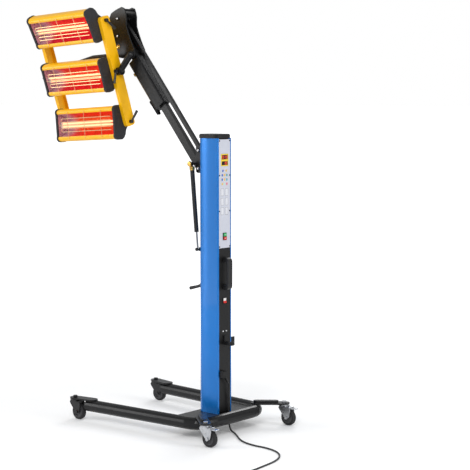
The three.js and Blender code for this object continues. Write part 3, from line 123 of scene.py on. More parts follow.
# Four square softboxes, and a tall narrow one that draws the highlight down the mast.
strip_height = 2.6
for light_name, place, target, size, power in (
    ("key_softbox", (3.2, -4.2, 4.2), (0, 0, 1.0), 2.4, 150),
    ("fill_softbox", (-3.6, -3.4, 2.6), (-0.2, 0, 1.1), 2.6, 70),
    ("back_softbox", (-1.5, 4.0, 3.6), (0, 0, 1.2), 2.0, 70),
    ("side_softbox", (4.4, 1.2, 2.0), (0.3, 0, 1.0), 1.6, 45),
    ("strip_softbox", (-2.2, -3.15, 1.2), (0.4, 0, 1.0), 0.4, 8),
):
    light_data = bpy.data.lights.new(light_name, "AREA")
    light_data.energy = power
    light_data.size = size
    if light_name == "strip_softbox":
        light_data.shape = "RECTANGLE"
        light_data.size_y = strip_height
    light = bpy.data.objects.new(light_name, light_data)
    light.location = place
    light.rotation_euler = (Vector(target) - Vector(place)).to_track_quat("-Z", "Y").to_euler()
    bpy.context.scene.collection.objects.link(light)


# Mains cord, its coil and plug
# A round black rubber cord leaves a sleeve on the cover, hangs down the mast, passes under the
# base tube and runs off over the floor to a tied coil and a moulded plug with two pins.
def surface(
    name,
    colour,
    roughness,
    metallic=0.0,
    tone=0.12,
    tone_scale=14.0,
    grain=0.06,
    grain_scale=900.0,
    rough_spread=0.08,
    edge=None,
    rounding=0.0,
    coat=0.0,
    shine=0.5,
):
    # A base colour that wanders a little, roughness that follows it, a fine skin in the bump,
    # and edges turned to a second colour all round, partly wear and partly a painted highlight.
    made = bpy.data.materials.new(name)
    made.use_nodes = True
    tree = made.node_tree
    shader = tree.nodes["Principled BSDF"]
    shader.inputs["Metallic"].default_value = metallic
    shader.inputs["Coat Weight"].default_value = coat
    shader.inputs["Specular IOR Level"].default_value = shine
    where = add_node(tree, "TexCoord")
    clouds = add_node(tree, "TexNoise", Scale=tone_scale, Detail=5.0, Roughness=0.6)
    tree.links.new(where.outputs["Object"], clouds.inputs["Vector"])
    ramp = add_node(tree, "ValToRGB")
    ramp.color_ramp.elements[0].position = 0.3
    ramp.color_ramp.elements[1].position = 0.7
    ramp.color_ramp.elements[0].color = [channel * (1 - tone) for channel in colour] + [1]
    ramp.color_ramp.elements[1].color = [min(1, channel * (1 + tone)) for channel in colour] + [1]
    tree.links.new(clouds.outputs["Fac"], ramp.inputs["Fac"])
    tint = ramp.outputs["Color"]
    smoothest, roughest = max(0.02, roughness - rough_spread), min(1, roughness + rough_spread)
    spread = add_node(tree, "MapRange", To_Min=smoothest, To_Max=roughest)
    smudge = add_node(tree, "TexNoise", Scale=tone_scale * 4, Detail=3.0)
    tree.links.new(where.outputs["Object"], smudge.inputs["Vector"])
    tree.links.new(smudge.outputs["Fac"], spread.inputs["Value"])
    tree.links.new(spread.outputs["Result"], shader.inputs["Roughness"])
    skin = add_node(tree, "TexNoise", Scale=grain_scale, Detail=2.0)
    tree.links.new(where.outputs["Object"], skin.inputs["Vector"])
    bump = add_node(tree, "Bump", Strength=grain, Distance=0.001)
    tree.links.new(skin.outputs["Fac"], bump.inputs["Height"])
    if rounding:
        bevel = add_node(tree, "Bevel", Radius=rounding)
        bevel.samples = 4
        tree.links.new(bevel.outputs["Normal"], bump.inputs["Normal"])
        if edge:
            # The second colour on the edges is partly wear and partly a painted highlight along
            # every rounded edge.
            flat = add_node(tree, "NewGeometry")
            dot = add_node(tree, "VectorMath", "DOT_PRODUCT")
            tree.links.new(bevel.outputs["Normal"], dot.inputs[0])
            tree.links.new(flat.outputs["Normal"], dot.inputs[1])
            edge_wear_and_highlight = add_node(tree, "MapRange", From_Min=0.985, From_Max=0.9)
            tree.links.new(dot.outputs["Value"], edge_wear_and_highlight.inputs["Value"])
            patchy_edge_wear_and_highlight = add_node(tree, "Math", "MULTIPLY")
            tree.links.new(edge_wear_and_highlight.outputs["Result"], patchy_edge_wear_and_highlight.inputs[0])
            tree.links.new(smudge.outputs["Fac"], patchy_edge_wear_and_highlight.inputs[1])
            mixed = add_node(tree, "Mix")
            mixed.data_type = "RGBA"
            mixed.inputs["B"].default_value = (*edge, 1)
            tree.links.new(patchy_edge_wear_and_highlight.outputs[0], mixed.inputs["Factor"])
            tree.links.new(tint, mixed.inputs["A"])
            tint = mixed.outputs["Result"]
    tree.links.new(tint, shader.inputs["Base Color"])
    tree.links.new(bump.outputs["Normal"], shader.inputs["Normal"])
    return made


smooth_below = radians(33)


def dress(material, *nodes):
    # Give a CAD solid its finish, with its round faces shaded round.
    for node in nodes:
        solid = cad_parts[node]
        if solid.material_slots:
            solid.material_slots[0].material = material
        else:
            solid.data.materials.append(material)
        bpy.ops.object.select_all(action="DESELECT")
        solid.select_set(True)
        bpy.context.view_layer.objects.active = solid
        bpy.ops.object.shade_smooth_by_angle(angle=smooth_below)


cord_rubber = surface(
    "cord_rubber", (0.014, 0.014, 0.015), 0.55, tone=0.2, grain=0.1, grain_scale=1400
)
cord_radius = 0.004
floor_height = 0.0043
seat_gap = 0.0003
exit_lean = radians(35)
sleeve_root, sleeve_length = Vector((0.071, -0.026, 0.284)), 0.046
outlet = Vector((0, sin(exit_lean), -cos(exit_lean)))
cord_start = sleeve_root + outlet * (sleeve_length + seat_gap)
coil_x, coil_y, coil_turns = 0.7, -0.62, 6
coil_middle, coil_pitch, coil_layer = 0.045, 0.0088, 0.0088
coil_outer = coil_middle + coil_pitch * coil_turns / 4
coil_start_x = coil_x - coil_outer
cord_route = [
    tuple(cord_start),
    tuple(cord_start + outlet * 0.014),
    tuple(cord_start + outlet * 0.026),
    (0.069, 0.015, 0.205),
    (0.067, 0.017, 0.17),
    (0.067, 0.017, 0.13),
    (0.067, 0.017, 0.09),
    (0.0675, 0.0165, 0.062),
    (0.071, 0.0145, 0.036),
    (0.082, 0.009, 0.015),
    (0.1, 0, floor_height + 0.001),
    (0.127, -0.015, floor_height),
    (0.178, -0.052, floor_height),
    (0.23, -0.094, floor_height),
    (0.27, -0.119, floor_height),
    (0.313, -0.136, floor_height),
    (0.373, -0.146, floor_height),
    (0.43, -0.146, floor_height),
    (0.49, -0.158, floor_height),
    (0.545, -0.188, floor_height),
    (0.59, -0.24, floor_height),
    (0.618, -0.31, floor_height),
    (0.632, -0.4, floor_height),
    (coil_start_x, -0.49, floor_height),
    (coil_start_x, -0.56, floor_height),
    (coil_start_x, coil_y + seat_gap, floor_height),
]


def centripetal(points, per_span):
    # The same smooth curve through the points as the CAD cord follows.
    at = [Vector(point) for point in points]
    at = [at[0] * 2 - at[1], *at, at[-1] * 2 - at[-2]]
    line = []
    for p0, p1, p2, p3 in zip(at, at[1:], at[2:], at[3:]):
        t1 = (p1 - p0).length ** 0.5
        t2 = t1 + (p2 - p1).length ** 0.5
        t3 = t2 + (p3 - p2).length ** 0.5
        for step in range(per_span):
            t = t1 + (t2 - t1) * step / per_span
            a1 = p0 * ((t1 - t) / t1) + p1 * (t / t1)
            a2 = p1 * ((t2 - t) / (t2 - t1)) + p2 * ((t - t1) / (t2 - t1))
            a3 = p2 * ((t3 - t) / (t3 - t2)) + p3 * ((t - t2) / (t3 - t2))
            b1 = a1 * ((t2 - t) / t2) + a2 * (t / t2)
            b2 = a2 * ((t3 - t) / (t3 - t1)) + a3 * ((t - t1) / (t3 - t1))
            line.append(b1 * ((t2 - t) / (t2 - t1)) + b2 * ((t - t1) / (t2 - t1)))
    return [*line, at[-2]]


def round_line(name, points, radius, material):
    # A curve object through the points, with a round section and closed ends.
    curve = bpy.data.curves.new(name, "CURVE")
    curve.dimensions = "3D"
    curve.bevel_depth = radius
    curve.bevel_resolution = 6
    curve.use_fill_caps = True
    spline = curve.splines.new("POLY")
    spline.points.add(len(points) - 1)
    for knot, point in zip(spline.points, points):
        knot.co = (*point, 1)
    curve.materials.append(material)
    made = bpy.data.objects.new(name, curve)
    bpy.context.scene.collection.objects.link(made)
    return made


def coil_point(turn_angle):
    # The coil spirals in on the floor, climbs a layer in the half turn where it reverses, and
    # spirals out again on top.
    half = coil_turns * pi
    inner = coil_outer - coil_pitch * coil_turns / 2
    away = turn_angle - half
    radius = inner + coil_pitch * abs(away) / (2 * pi)
    climb = min(max(away / pi + 0.5, 0), 1)
    lift = coil_layer * climb * climb * (3 - 2 * climb)
    angle = pi + turn_angle
    return Vector((coil_x + radius * cos(angle), coil_y + radius * sin(angle), floor_height + lift))


shift = Vector((mast_x, 0, 0))
cord_line = [point + shift for point in centripetal(cord_route, per_span=8)]
coil_steps = coil_turns * 48
coil_line = [coil_point(2 * pi * coil_turns * step / coil_steps) for step in range(coil_steps + 1)]
coil_line += [coil_line[-1] + Vector((0, -lead, 0)) for lead in (0.022, 0.0438)]
coil_line = [point + shift for point in coil_line]
whole_line = cord_line[:-1] + coil_line
mains_lead = round_line("mains_lead", whole_line, cord_radius, cord_rubber)
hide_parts("mains_cord", "mains_cord_coil")
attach(mains_lead, "stand")

# Its paler edges are partly wear and partly a painted highlight.
moulded_black = surface(
    "moulded_black", (0.009, 0.009, 0.01), 0.4, tone=0.25, tone_scale=22, shine=0.45, grain=0.08,
    grain_scale=1500, rounding=0.0008, edge=(0.06, 0.06, 0.062),
)
dress(moulded_black, "mains_plug")


def start_piece(name):
    # An empty mesh at the origin, open in edit mode.
    bpy.ops.object.select_all(action="DESELECT")
    bpy.ops.object.add(type="MESH", location=(0, 0, 0))
    made = bpy.context.object
    made.name = name
    bpy.ops.object.mode_set(mode="EDIT")
    return made


def end_piece(made, material, body, bevel=0.0):
    # Close the piece, round its edges, and give it its finish and the body it rides on.
    bpy.ops.mesh.select_all(action="SELECT")
    bpy.ops.mesh.remove_doubles(threshold=0.00001)
    bpy.ops.mesh.normals_make_consistent(inside=False)
    bpy.ops.object.mode_set(mode="OBJECT")
    if bevel:
        modifier = made.modifiers.new("edge_round", "BEVEL")
        modifier.width = bevel
        modifier.segments = 2
        modifier.limit_method = "ANGLE"
        bpy.ops.object.modifier_apply(modifier="edge_round")
    made.data.materials.append(material)
    bpy.ops.object.shade_smooth_by_angle(angle=radians(35))
    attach(made, body)
    return made


# A flat strap round both layers of the coil: a bevelled bar, hollowed from end to end.
tie_from_middle, tie_height = 0.04465, 0.0088
tie_size = (0.011, 0.0317, 0.01756)
tie_corner, tie_wall = 0.0025, 0.00024
coil_tie = start_piece("coil_tie")
bpy.ops.mesh.primitive_cube_add(
    size=1, location=(coil_x + mast_x, coil_y + tie_from_middle, tie_height), scale=tie_size
)
bpy.ops.object.mode_set(mode="OBJECT")
for edge in coil_tie.data.edges:
    one, other = (coil_tie.data.vertices[corner].co for corner in edge.vertices)
    edge.select = abs(one.x - other.x) > 0.001
bpy.ops.object.mode_set(mode="EDIT")
bpy.ops.mesh.select_mode(type="EDGE")
bpy.ops.mesh.bevel(offset=tie_corner, segments=4, affect="EDGES")
bpy.ops.mesh.select_mode(type="FACE")
bpy.ops.object.mode_set(mode="OBJECT")
for side in coil_tie.data.polygons:
    side.select = abs(side.normal.x) > 0.99
bpy.ops.object.mode_set(mode="EDIT")
bpy.ops.mesh.inset(thickness=tie_wall)
bpy.ops.mesh.bridge_edge_loops()
end_piece(coil_tie, moulded_black, "stand")

# Base frame
# One bent steel tube with welded caster carriers, outriggers and foot plate, powder coated
# in a satin black that shows a fine orange-peel skin and paler edges, partly wear and partly
# painted highlight.
black_coat = surface(
    "black_powder_coat", (0.0045, 0.0045, 0.005), 0.3, tone=0.18, tone_scale=9, grain=0.06,
    grain_scale=620, rounding=0.0016, edge=(0.06, 0.06, 0.063), shine=0.32,
)
dress(black_coat, "base_frame")


def turn(profile, origin, along, sides=32):
    # Rings of [radius, height] points joined one to the next round the line from origin.
    along = Vector(along).normalized()
    lean = along.to_track_quat("Z", "Y").to_euler()
    for (r1, h1), (r2, h2) in zip(profile, profile[1:]):
        if h2 < h1:
            (r1, h1), (r2, h2) = (r2, h2), (r1, h1)
        if max(r1, r2) > 0:
            bpy.ops.mesh.primitive_cone_add(
                vertices=sides,
                radius1=r1,
                radius2=r2,
                depth=h2 - h1,
                end_fill_type="NOTHING",
                location=Vector(origin) + along * (h1 + h2) / 2,
                rotation=lean,
            )


def local(x, y, z):
    # A place in metres for one given in millimetres from the middle of the mast.
    return Vector((x / 1000 + mast_x, y / 1000, z / 1000))


sides = (("near", -1), ("far", 1))
leg_end_x, leg_end_y, leg_height, leg_splay, plug_inset = -615, 275.6, 75, 0.066, 0.0016
for side_name, side in sides:
    leg_plug = start_piece(f"leg_plug_{side_name}")
    heading = (-1, side * leg_splay, 0)
    turn(
        [
            (0, 0.0022), (0.02, 0.002), (0.0255, 0.0006), (0.0262, -0.002), (0.0262, -0.016),
            (0, -0.016),
        ],
        local(leg_end_x, side * leg_end_y, leg_height) - Vector(heading) * plug_inset,
        heading,
    )
    end_piece(leg_plug, moulded_black, "stand")

# Casters
# Pressed forks with twin cheeks, each on a king pin: zinc-plated at the rear, black in front.
# The wheels are moulded grey cores with solid black rubber tyres, and the rear pair has
# pressed brake pedals.
zinc = surface(
    "zinc_plate", (0.52, 0.53, 0.55), 0.3, metallic=1.0, tone=0.16, tone_scale=60, grain=0.08,
    grain_scale=500, rounding=0.0006,
)
tyre_rubber = surface(
    "tyre_rubber", (0.011, 0.011, 0.012), 0.72, tone=0.3, tone_scale=45, grain=0.3, grain_scale=420
)
# Its paler edges are partly wear and partly a painted highlight.
fork_black = surface(
    "fork_black", (0.02, 0.02, 0.021), 0.34, metallic=0.4, tone=0.2, tone_scale=60, rounding=0.0006,
    edge=(0.12, 0.12, 0.12),
)
wheel_core = surface("wheel_core", (0.05, 0.05, 0.053), 0.45, tone=0.15, grain=0.1, rounding=0.0006)
trail, caster_y, axle_height = 28, 292, 40
spoke_count, spoke_middle, spoke_size = 6, 0.0178, (0.0125, 0.0135, 0.0028)
for end_name, caster_x in (("front", -690), ("rear", 192)):
    for side_name, side in sides:
        caster = f"{end_name}_{side_name}"
        dress(zinc if end_name == "rear" else fork_black, f"caster_fork_{caster}")
        if end_name == "rear":
            dress(zinc, f"brake_pedal_{caster}")
        hub = local(caster_x + trail, side * caster_y, axle_height)
        tyre = start_piece(f"tyre_{caster}")
        turn(
            [
                (0.0285, -0.0112), (0.031, -0.0125), (0.0352, -0.0124), (0.0378, -0.0113),
                (0.0392, -0.0094), (0.0399, -0.006), (0.04, 0), (0.0399, 0.006), (0.0392, 0.0094),
                (0.0378, 0.0113), (0.0352, 0.0124), (0.031, 0.0125), (0.0285, 0.0112),
                (0.0285, -0.0112),
            ],
            hub,
            (0, 1, 0),
            48,
        )
        end_piece(tyre, tyre_rubber, f"wheel_{caster}")
        core = start_piece(f"wheel_core_{caster}")
        turn(
            [
                (0.0053, -0.0145), (0.0105, -0.0145), (0.0115, -0.013), (0.0118, -0.0062),
                (0.0142, -0.0052), (0.0228, -0.0052), (0.0245, -0.0068), (0.0252, -0.0108),
                (0.0284, -0.0108), (0.0284, 0.0108), (0.0252, 0.0108), (0.0245, 0.0068),
                (0.0228, 0.0052), (0.0142, 0.0052), (0.0118, 0.0062), (0.0115, 0.013),
                (0.0105, 0.0145), (0.0053, 0.0145), (0.0053, -0.0145),
            ],
            hub,
            (0, 1, 0),
            48,
        )
        for spoke in range(spoke_count):
            angle = spoke * 2 * pi / spoke_count
            reach = Vector((cos(angle), 0, sin(angle)))
            bpy.ops.mesh.primitive_cube_add(
                size=1,
                location=hub + reach * spoke_middle,
                rotation=(0, -angle, 0),
                scale=spoke_size,
            )
        end_piece(core, wheel_core, f"wheel_{caster}")
        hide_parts(f"caster_wheel_{caster}")
        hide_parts(f"caster_wheel_{caster}")

# Mast, cap, cover and handles
# A blue-coated aluminium extrusion with a rounded back, closed in front by the panel and by a
# moulded black cover with a cord hook, a breaker frame, a grab handle and the cord sleeve.
mast_blue = surface(
    "mast_blue", (0.003, 0.18, 0.6), 0.26, metallic=0.35, tone=0.05, tone_scale=5, grain=0.008,
    grain_scale=900, rounding=0.003, coat=0.2, rough_spread=0.03,
)
# The extrusion's long sides swell a little: their normals lean from the back edge to the front.
mast_back, mast_front = mast_x - 0.072, mast_x + 0.057
lean_back, lean_front = -0.22, 0.42
swell = mast_blue.node_tree
swell_place = add_node(swell, "TexCoord")
swell_split = add_node(swell, "SeparateXYZ")
swell_lean = add_node(
    swell, "MapRange", From_Min=mast_back, From_Max=mast_front, To_Min=lean_back, To_Max=lean_front
)
swell_offset = add_node(swell, "CombineXYZ")
swell_flat = add_node(swell, "NewGeometry")
swell_sum = add_node(swell, "VectorMath", "ADD")
swell_unit = add_node(swell, "VectorMath", "NORMALIZE")
swell_bevel = next(node for node in swell.nodes if node.bl_idname == "ShaderNodeBevel")
swell.links.new(swell_place.outputs["Object"], swell_split.inputs[0])
swell.links.new(swell_split.outputs["X"], swell_lean.inputs["Value"])
swell.links.new(swell_lean.outputs["Result"], swell_offset.inputs["X"])
swell.links.new(swell_flat.outputs["Normal"], swell_sum.inputs[0])
swell.links.new(swell_offset.outputs[0], swell_sum.inputs[1])
swell.links.new(swell_sum.outputs["Vector"], swell_unit.inputs[0])
swell.links.new(swell_unit.outputs["Vector"], swell_bevel.inputs["Normal"])
dress(mast_blue, "mast_extrusion")


def two_tone(material, name, axis, edge, colour):
    # A copy of a finish that turns to a second colour beyond a plane across the piece.
    made = material.copy()
    made.name = name
    tree = made.node_tree
    base = tree.nodes["Principled BSDF"].inputs["Base Color"]
    first = base.links[0].from_socket
    place = add_node(tree, "TexCoord")
    along = add_node(tree, "VectorMath", "DOT_PRODUCT")
    along.inputs[1].default_value = axis
    beyond = add_node(tree, "Math", "GREATER_THAN")
    beyond.inputs[1].default_value = edge
    blend = add_node(tree, "Mix")
    blend.data_type = "RGBA"
    blend.inputs["B"].default_value = (*colour, 1)
    tree.links.new(place.outputs["Object"], along.inputs[0])
    tree.links.new(along.outputs["Value"], beyond.inputs[0])
    tree.links.new(beyond.outputs[0], blend.inputs["Factor"])
    tree.links.new(first, blend.inputs["A"])
    tree.links.new(blend.outputs["Result"], base)
    return made


# Its paler edges are partly wear and partly a painted highlight.
cover_black = surface(
    "cover_black", (0.006, 0.006, 0.0065), 0.42, tone=0.15, tone_scale=18, shine=0.3, grain=0.2,
    grain_scale=1100, rounding=0.001, edge=(0.07, 0.07, 0.075),
)
dress(cover_black, "lower_cover", "mast_top_cap", "cord_gland", "switch_bezel")
dress(moulded_black, "grab_handle", "mast_clamp_lever")
switch_red = surface(
    "switch_red", (0.62, 0.02, 0.014), 0.3, tone=0.08, grain=0.04, rounding=0.0008
)
switch_green = surface(
    "switch_green", (0.02, 0.42, 0.12), 0.3, tone=0.08, grain=0.04, rounding=0.0008
)
dress(switch_red, "off_button")
rocker_middle, rocker_white = 0.638, (0.8, 0.78, 0.76)
rocker_red_white = two_tone(switch_red, "rocker_red_white", (0, 0, 1), rocker_middle, rocker_white)
dress(rocker_red_white, "breaker_rocker")
dress(switch_green, "on_button")
board_green = surface("board_green", (0.015, 0.16, 0.05), 0.45, tone=0.3, tone_scale=90)
dress(board_green, "control_board")

bright_screw = surface(
    "bright_screw", (0.72, 0.72, 0.74), 0.22, metallic=1.0, tone=0.1, rounding=0.0004
)
black_screw = surface(
    "black_screw", (0.03, 0.03, 0.032), 0.3, metallic=0.6, tone=0.1, rounding=0.0004
)


def dome_screw(name, at, along, radius, material, body):
    # A domed head with a round recess, seated at a point and facing along a direction.
    made = start_piece(name)
    turn(
        [
            (0, -0.0002), (radius, -0.0002), (radius, radius * 0.18),
            (radius * 0.86, radius * 0.42), (radius * 0.55, radius * 0.6),
            (radius * 0.42, radius * 0.62), (radius * 0.42, radius * 0.2), (0, radius * 0.2),
        ],
        at,
        along,
        24,
    )
    return end_piece(made, material, body)


# Screws through the panel's and the cover's edges, and two bright ones above the cord hook
front_face = 56.05
edge_screw_y, edge_screw_radius = 37, 0.0037
for row, screw_z in enumerate((1408, 1243, 1072, 901, 872, 640, 400, 160)):
    for side_name, side in sides:
        dome_screw(
            f"panel_screw_{row}_{side_name}",
            local(front_face, side * edge_screw_y, screw_z),
            (1, 0, 0),
            edge_screw_radius,
            black_screw,
            "stand",
        )
hook_screw_y, hook_screw_z, hook_screw_radius = 12, 490, 0.0042
for side_name, side in sides:
    dome_screw(
        f"cover_screw_{side_name}",
        local(front_face, side * hook_screw_y, hook_screw_z),
        (1, 0, 0),
        hook_screw_radius,
        bright_screw,
        "stand",
    )

# Operator's panel
# A pale silver film over a flat sheet: a yellow-rimmed window with two red digit displays,
# eleven soft keys with their pilot lights, six plain framed fields and the switch block.
panel_film = surface(
    "panel_film", (0.64, 0.66, 0.74), 0.34, metallic=0.25, tone=0.03, tone_scale=30, grain=0.05,
    grain_scale=2200, rounding=0.0006,
)
dress(panel_film, "control_panel")
window_rim = surface("window_rim", (0.86, 0.62, 0.03), 0.35, tone=0.05, rounding=0.0005)
dress(window_rim, "display_window")
window_black = surface("window_black", (0.02, 0.004, 0.003), 0.12, tone=0.1, grain=0.0)

# Places on the panel's front are counted across and down, in steps of a little over 1 mm.
panel_middle, across_step = 399, 1.17
panel_start, down_step, panel_top = 16.1, 1.2512, 1415


def panel_y(across):
    return (across - panel_middle) * across_step


def panel_z(down):
    return panel_top - (down - panel_start) * down_step


def box_at(low, high):
    # A box between two opposite corners.
    low, high = Vector(low), Vector(high)
    bpy.ops.mesh.primitive_cube_add(size=1, location=(low + high) / 2, scale=high - low)


window_face, glass_sunk, glass_proud = 57.4, 0.2, 0.35
window_left, window_right = 380.3, 417.5
windows = start_piece("display_glass")
for top, bottom in ((75.5, 92.5), (99.7, 114.3)):
    box_at(
        local(window_face - glass_sunk, panel_y(window_left), panel_z(bottom)),
        local(window_face + glass_proud, panel_y(window_right), panel_z(top)),
    )
end_piece(windows, window_black, "stand", bevel=0.0002)


def glow(name, colour, strength):
    # A finish that gives light of its own, a little uneven over the piece.
    made = bpy.data.materials.new(name)
    made.use_nodes = True
    tree = made.node_tree
    shader = tree.nodes["Principled BSDF"]
    shader.inputs["Base Color"].default_value = (*colour, 1)
    shader.inputs["Roughness"].default_value = 0.3
    shader.inputs["Emission Strength"].default_value = strength
    where = add_node(tree, "TexCoord")
    flicker = add_node(tree, "TexNoise", Scale=60.0, Detail=2.0)
    tree.links.new(where.outputs["Object"], flicker.inputs["Vector"])
    ramp = add_node(tree, "ValToRGB")
    ramp.color_ramp.elements[0].color = [channel * 0.8 for channel in colour] + [1]
    ramp.color_ramp.elements[1].color = [*colour, 1]
    tree.links.new(flicker.outputs["Fac"], ramp.inputs["Fac"])
    tree.links.new(ramp.outputs["Color"], shader.inputs["Emission Color"])
    return made


digit_red = glow("digit_red", (0.9, 0.07, 0.02), 0.75)
bars_of = {"0": "abcdef", "1": "bc", "9": "abcdfg"}
digit_back, digit_front = window_face + 0.36, window_face + 0.36 + 0.15


def digit_bars(text, centre_y, centre_z, high):
    # Seven-bar digits, lettered a to g clockwise from the top bar, with g across the middle.
    wide, stroke, step = high * 0.42, high * 0.1, high * 0.6
    start = centre_y - step * (len(text) - 1) / 2
    for place, sign in enumerate(text):
        y = start + place * step
        if sign == ":":
            dot = stroke / 2
            for z in (centre_z - high * 0.2, centre_z + high * 0.2):
                box_at(local(digit_back, y - dot, z - dot), local(digit_front, y + dot, z + dot))
            continue
        half, tall = wide / 2, high / 2
        spans = {
            "a": (-half, tall - stroke, half, tall),
            "g": (-half, -stroke / 2, half, stroke / 2),
            "d": (-half, -tall, half, -tall + stroke),
            "f": (-half, stroke * 0.7, -half + stroke, tall - stroke * 1.2),
            "b": (half - stroke, stroke * 0.7, half, tall - stroke * 1.2),
            "e": (-half, -tall + stroke * 1.2, -half + stroke, -stroke * 0.7),
            "c": (half - stroke, -tall + stroke * 1.2, half, -stroke * 0.7),
        }
        for bar in bars_of[sign]:
            y0, z0, y1, z1 = spans[bar]
            box_at(
                local(digit_back, y + y0, centre_z + z0), local(digit_front, y + y1, centre_z + z1)
            )


digits = start_piece("display_digits")
digit_bars("99:00", panel_y(panel_middle), panel_z(84), 13.5)
digit_bars("100", panel_y(404), panel_z(107), 12.5)
end_piece(digits, digit_red, "stand")

key_colours = {
    "blue": (0.05, 0.14, 0.5),
    "gold": (0.75, 0.5, 0.12),
    "teal": (0.05, 0.35, 0.42),
    "pale": (0.5, 0.72, 0.62),
    "rose": (0.78, 0.16, 0.22),
}
key_finish = {
    name: surface(f"key_{name}", colour, 0.35, tone=0.06, grain=0.03)
    for name, colour in key_colours.items()
}
key_rows = (
    (136.3, ((389, "blue"), (408.8, "gold"))),
    (152.9, ((384.6, "blue"), (398.8, "gold"), (412.9, "teal"))),
    (169.6, ((384.6, "blue"), (398.8, "gold"), (412.9, "teal"))),
    (186.5, ((384.6, "gold"), (398.8, "pale"), (412.9, "rose"))),
)
pilot_red = glow("pilot_red", (0.9, 0.05, 0.02), 0.5)
pilot_radius, pilot_out, pilot_aside, pilot_above = 0.0011, 0.1, 6.3, 4.6
pilots = start_piece("key_pilots")
for down, keys in key_rows:
    for across, _ in keys:
        bpy.ops.mesh.primitive_uv_sphere_add(
            segments=10,
            ring_count=6,
            radius=pilot_radius,
            location=local(
                front_face + pilot_out, panel_y(across) + pilot_aside, panel_z(down) + pilot_above
            ),
        )
end_piece(pilots, pilot_red, "stand")
key_size = (0.0062, 0.0052, 0.0011)
for row, (down, keys) in enumerate(key_rows):
    for column, (across, colour_name) in enumerate(keys):
        key = start_piece(f"soft_key_{row}_{column}")
        bpy.ops.mesh.primitive_cylinder_add(
            vertices=32,
            radius=1,
            depth=1,
            location=local(front_face, panel_y(across), panel_z(down)),
            rotation=(0, pi / 2, 0),
            scale=key_size,
        )
        end_piece(key, key_finish[colour_name], "stand", bevel=0.0003)

field_line = surface("field_line", (0.12, 0.12, 0.13), 0.5, tone=0.1)
field_white = surface("field_white", (0.7, 0.71, 0.76), 0.4, tone=0.03)
field_columns = ((376.6, 394.4), (402.4, 420.2))
first_field, field_step, field_high = 204, 36.2, 28


def field_boxes(sunk, proud, rim):
    # Six flat boxes in two columns, each smaller than its field by a rim all round.
    for left, right in field_columns:
        for row in range(3):
            top = first_field + row * field_step
            box_at(
                local(front_face - sunk, panel_y(left) + rim, panel_z(top + field_high) + rim),
                local(front_face + proud, panel_y(right) - rim, panel_z(top) - rim),
            )


frames = start_piece("panel_field_rims")
field_boxes(0.1, 0.12, 0)
end_piece(frames, field_line, "stand")
fields = start_piece("panel_fields")
field_boxes(0, 0.2, 0.9)
end_piece(fields, field_white, "stand")

# ON and OFF, printed white on the two push buttons
letter_white = surface("letter_white", (0.85, 0.85, 0.85), 0.5, tone=0.03)
button_face, letter_size, letter_depth = 61.62, 0.0075, 0.0001
for word, word_z, button_body in (("ON", 957.9, "on_button"), ("OFF", 941.1, "off_button")):
    bpy.ops.object.select_all(action="DESELECT")
    bpy.ops.object.text_add(location=(0, 0, 0))
    letters = bpy.context.object
    letters.name = f"switch_word_{word.lower()}"
    letters.data.body = word
    letters.data.align_x = "CENTER"
    letters.data.align_y = "CENTER"
    letters.data.size = letter_size
    letters.data.extrude = letter_depth
    bpy.ops.object.convert(target="MESH")
    letters.rotation_euler = (pi / 2, 0, pi / 2)
    letters.location = local(button_face, 0, word_z)
    bpy.ops.object.transform_apply(location=True, rotation=True, scale=True)
    letters.data.materials.append(letter_white)
    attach(letters, button_body)

# Lift arm, gas strut and end bracket
# Steel box bars on through pins, satin black. The strut is a black cylinder on a hard chromed
# rod, with a brass nut on its stud; bright domed nuts close the pins of the end bracket.
dress(black_coat, "back_rail", "lower_arm", "upper_link", "end_bracket")
dress(cover_black, "arm_cover")
chrome = surface(
    "hard_chrome", (0.42, 0.43, 0.45), 0.14, metallic=1.0, tone=0.05, grain=0.01, rough_spread=0.03,
    rounding=0.0005,
)
dress(chrome, "strut_rod")
# The rod under the arm's cover is bright, with a black foot as far as 461 mm from the arm's pivot.
arm_pivot = local(-95, 0, 1272.3)
arm_along = Vector((-0.62932, 0, 0.777146))
foot_end, foot_black = 0.461, (0.004, 0.004, 0.0045)
foot_plane = -foot_end - arm_along.dot(arm_pivot)
dress(two_tone(chrome, "chrome_black_foot", -arm_along, foot_plane, foot_black), "arm_rod")
# Its paler edges are partly wear and partly a painted highlight.
strut_black = surface(
    "strut_black", (0.009, 0.009, 0.01), 0.22, tone=0.1, grain=0.03, rounding=0.0008, coat=0.4,
    edge=(0.08, 0.08, 0.08),
)
dress(strut_black, "strut_cylinder")
brass = surface(
    "yellow_brass", (0.72, 0.45, 0.12), 0.24, metallic=1.0, tone=0.15, tone_scale=80,
    rounding=0.0005,
)
stud = local(-126.08, -33, 1294.04)
strut_nut = start_piece("strut_brass_nut")
turn(
    [
        (0, 0.0102), (0.0105, 0.0102), (0.0135, 0.012), (0.0135, 0.0195), (0.011, 0.0212),
        (0, 0.0212),
    ],
    stud,
    (0, -1, 0),
    6,
)
end_piece(strut_nut, brass, "strut_cylinder", bevel=0.0005)
strut_collar = start_piece("strut_brass_collar")
strut_down = Vector((0.09159, 0, -0.9958))
turn(
    [
        (0.009, 0.0125), (0.0118, 0.0135), (0.0129, 0.016), (0.0129, 0.029), (0.0118, 0.0315),
        (0.009, 0.0325),
    ],
    stud,
    strut_down,
    8,
)
end_piece(strut_collar, brass, "strut_cylinder", bevel=0.0004)

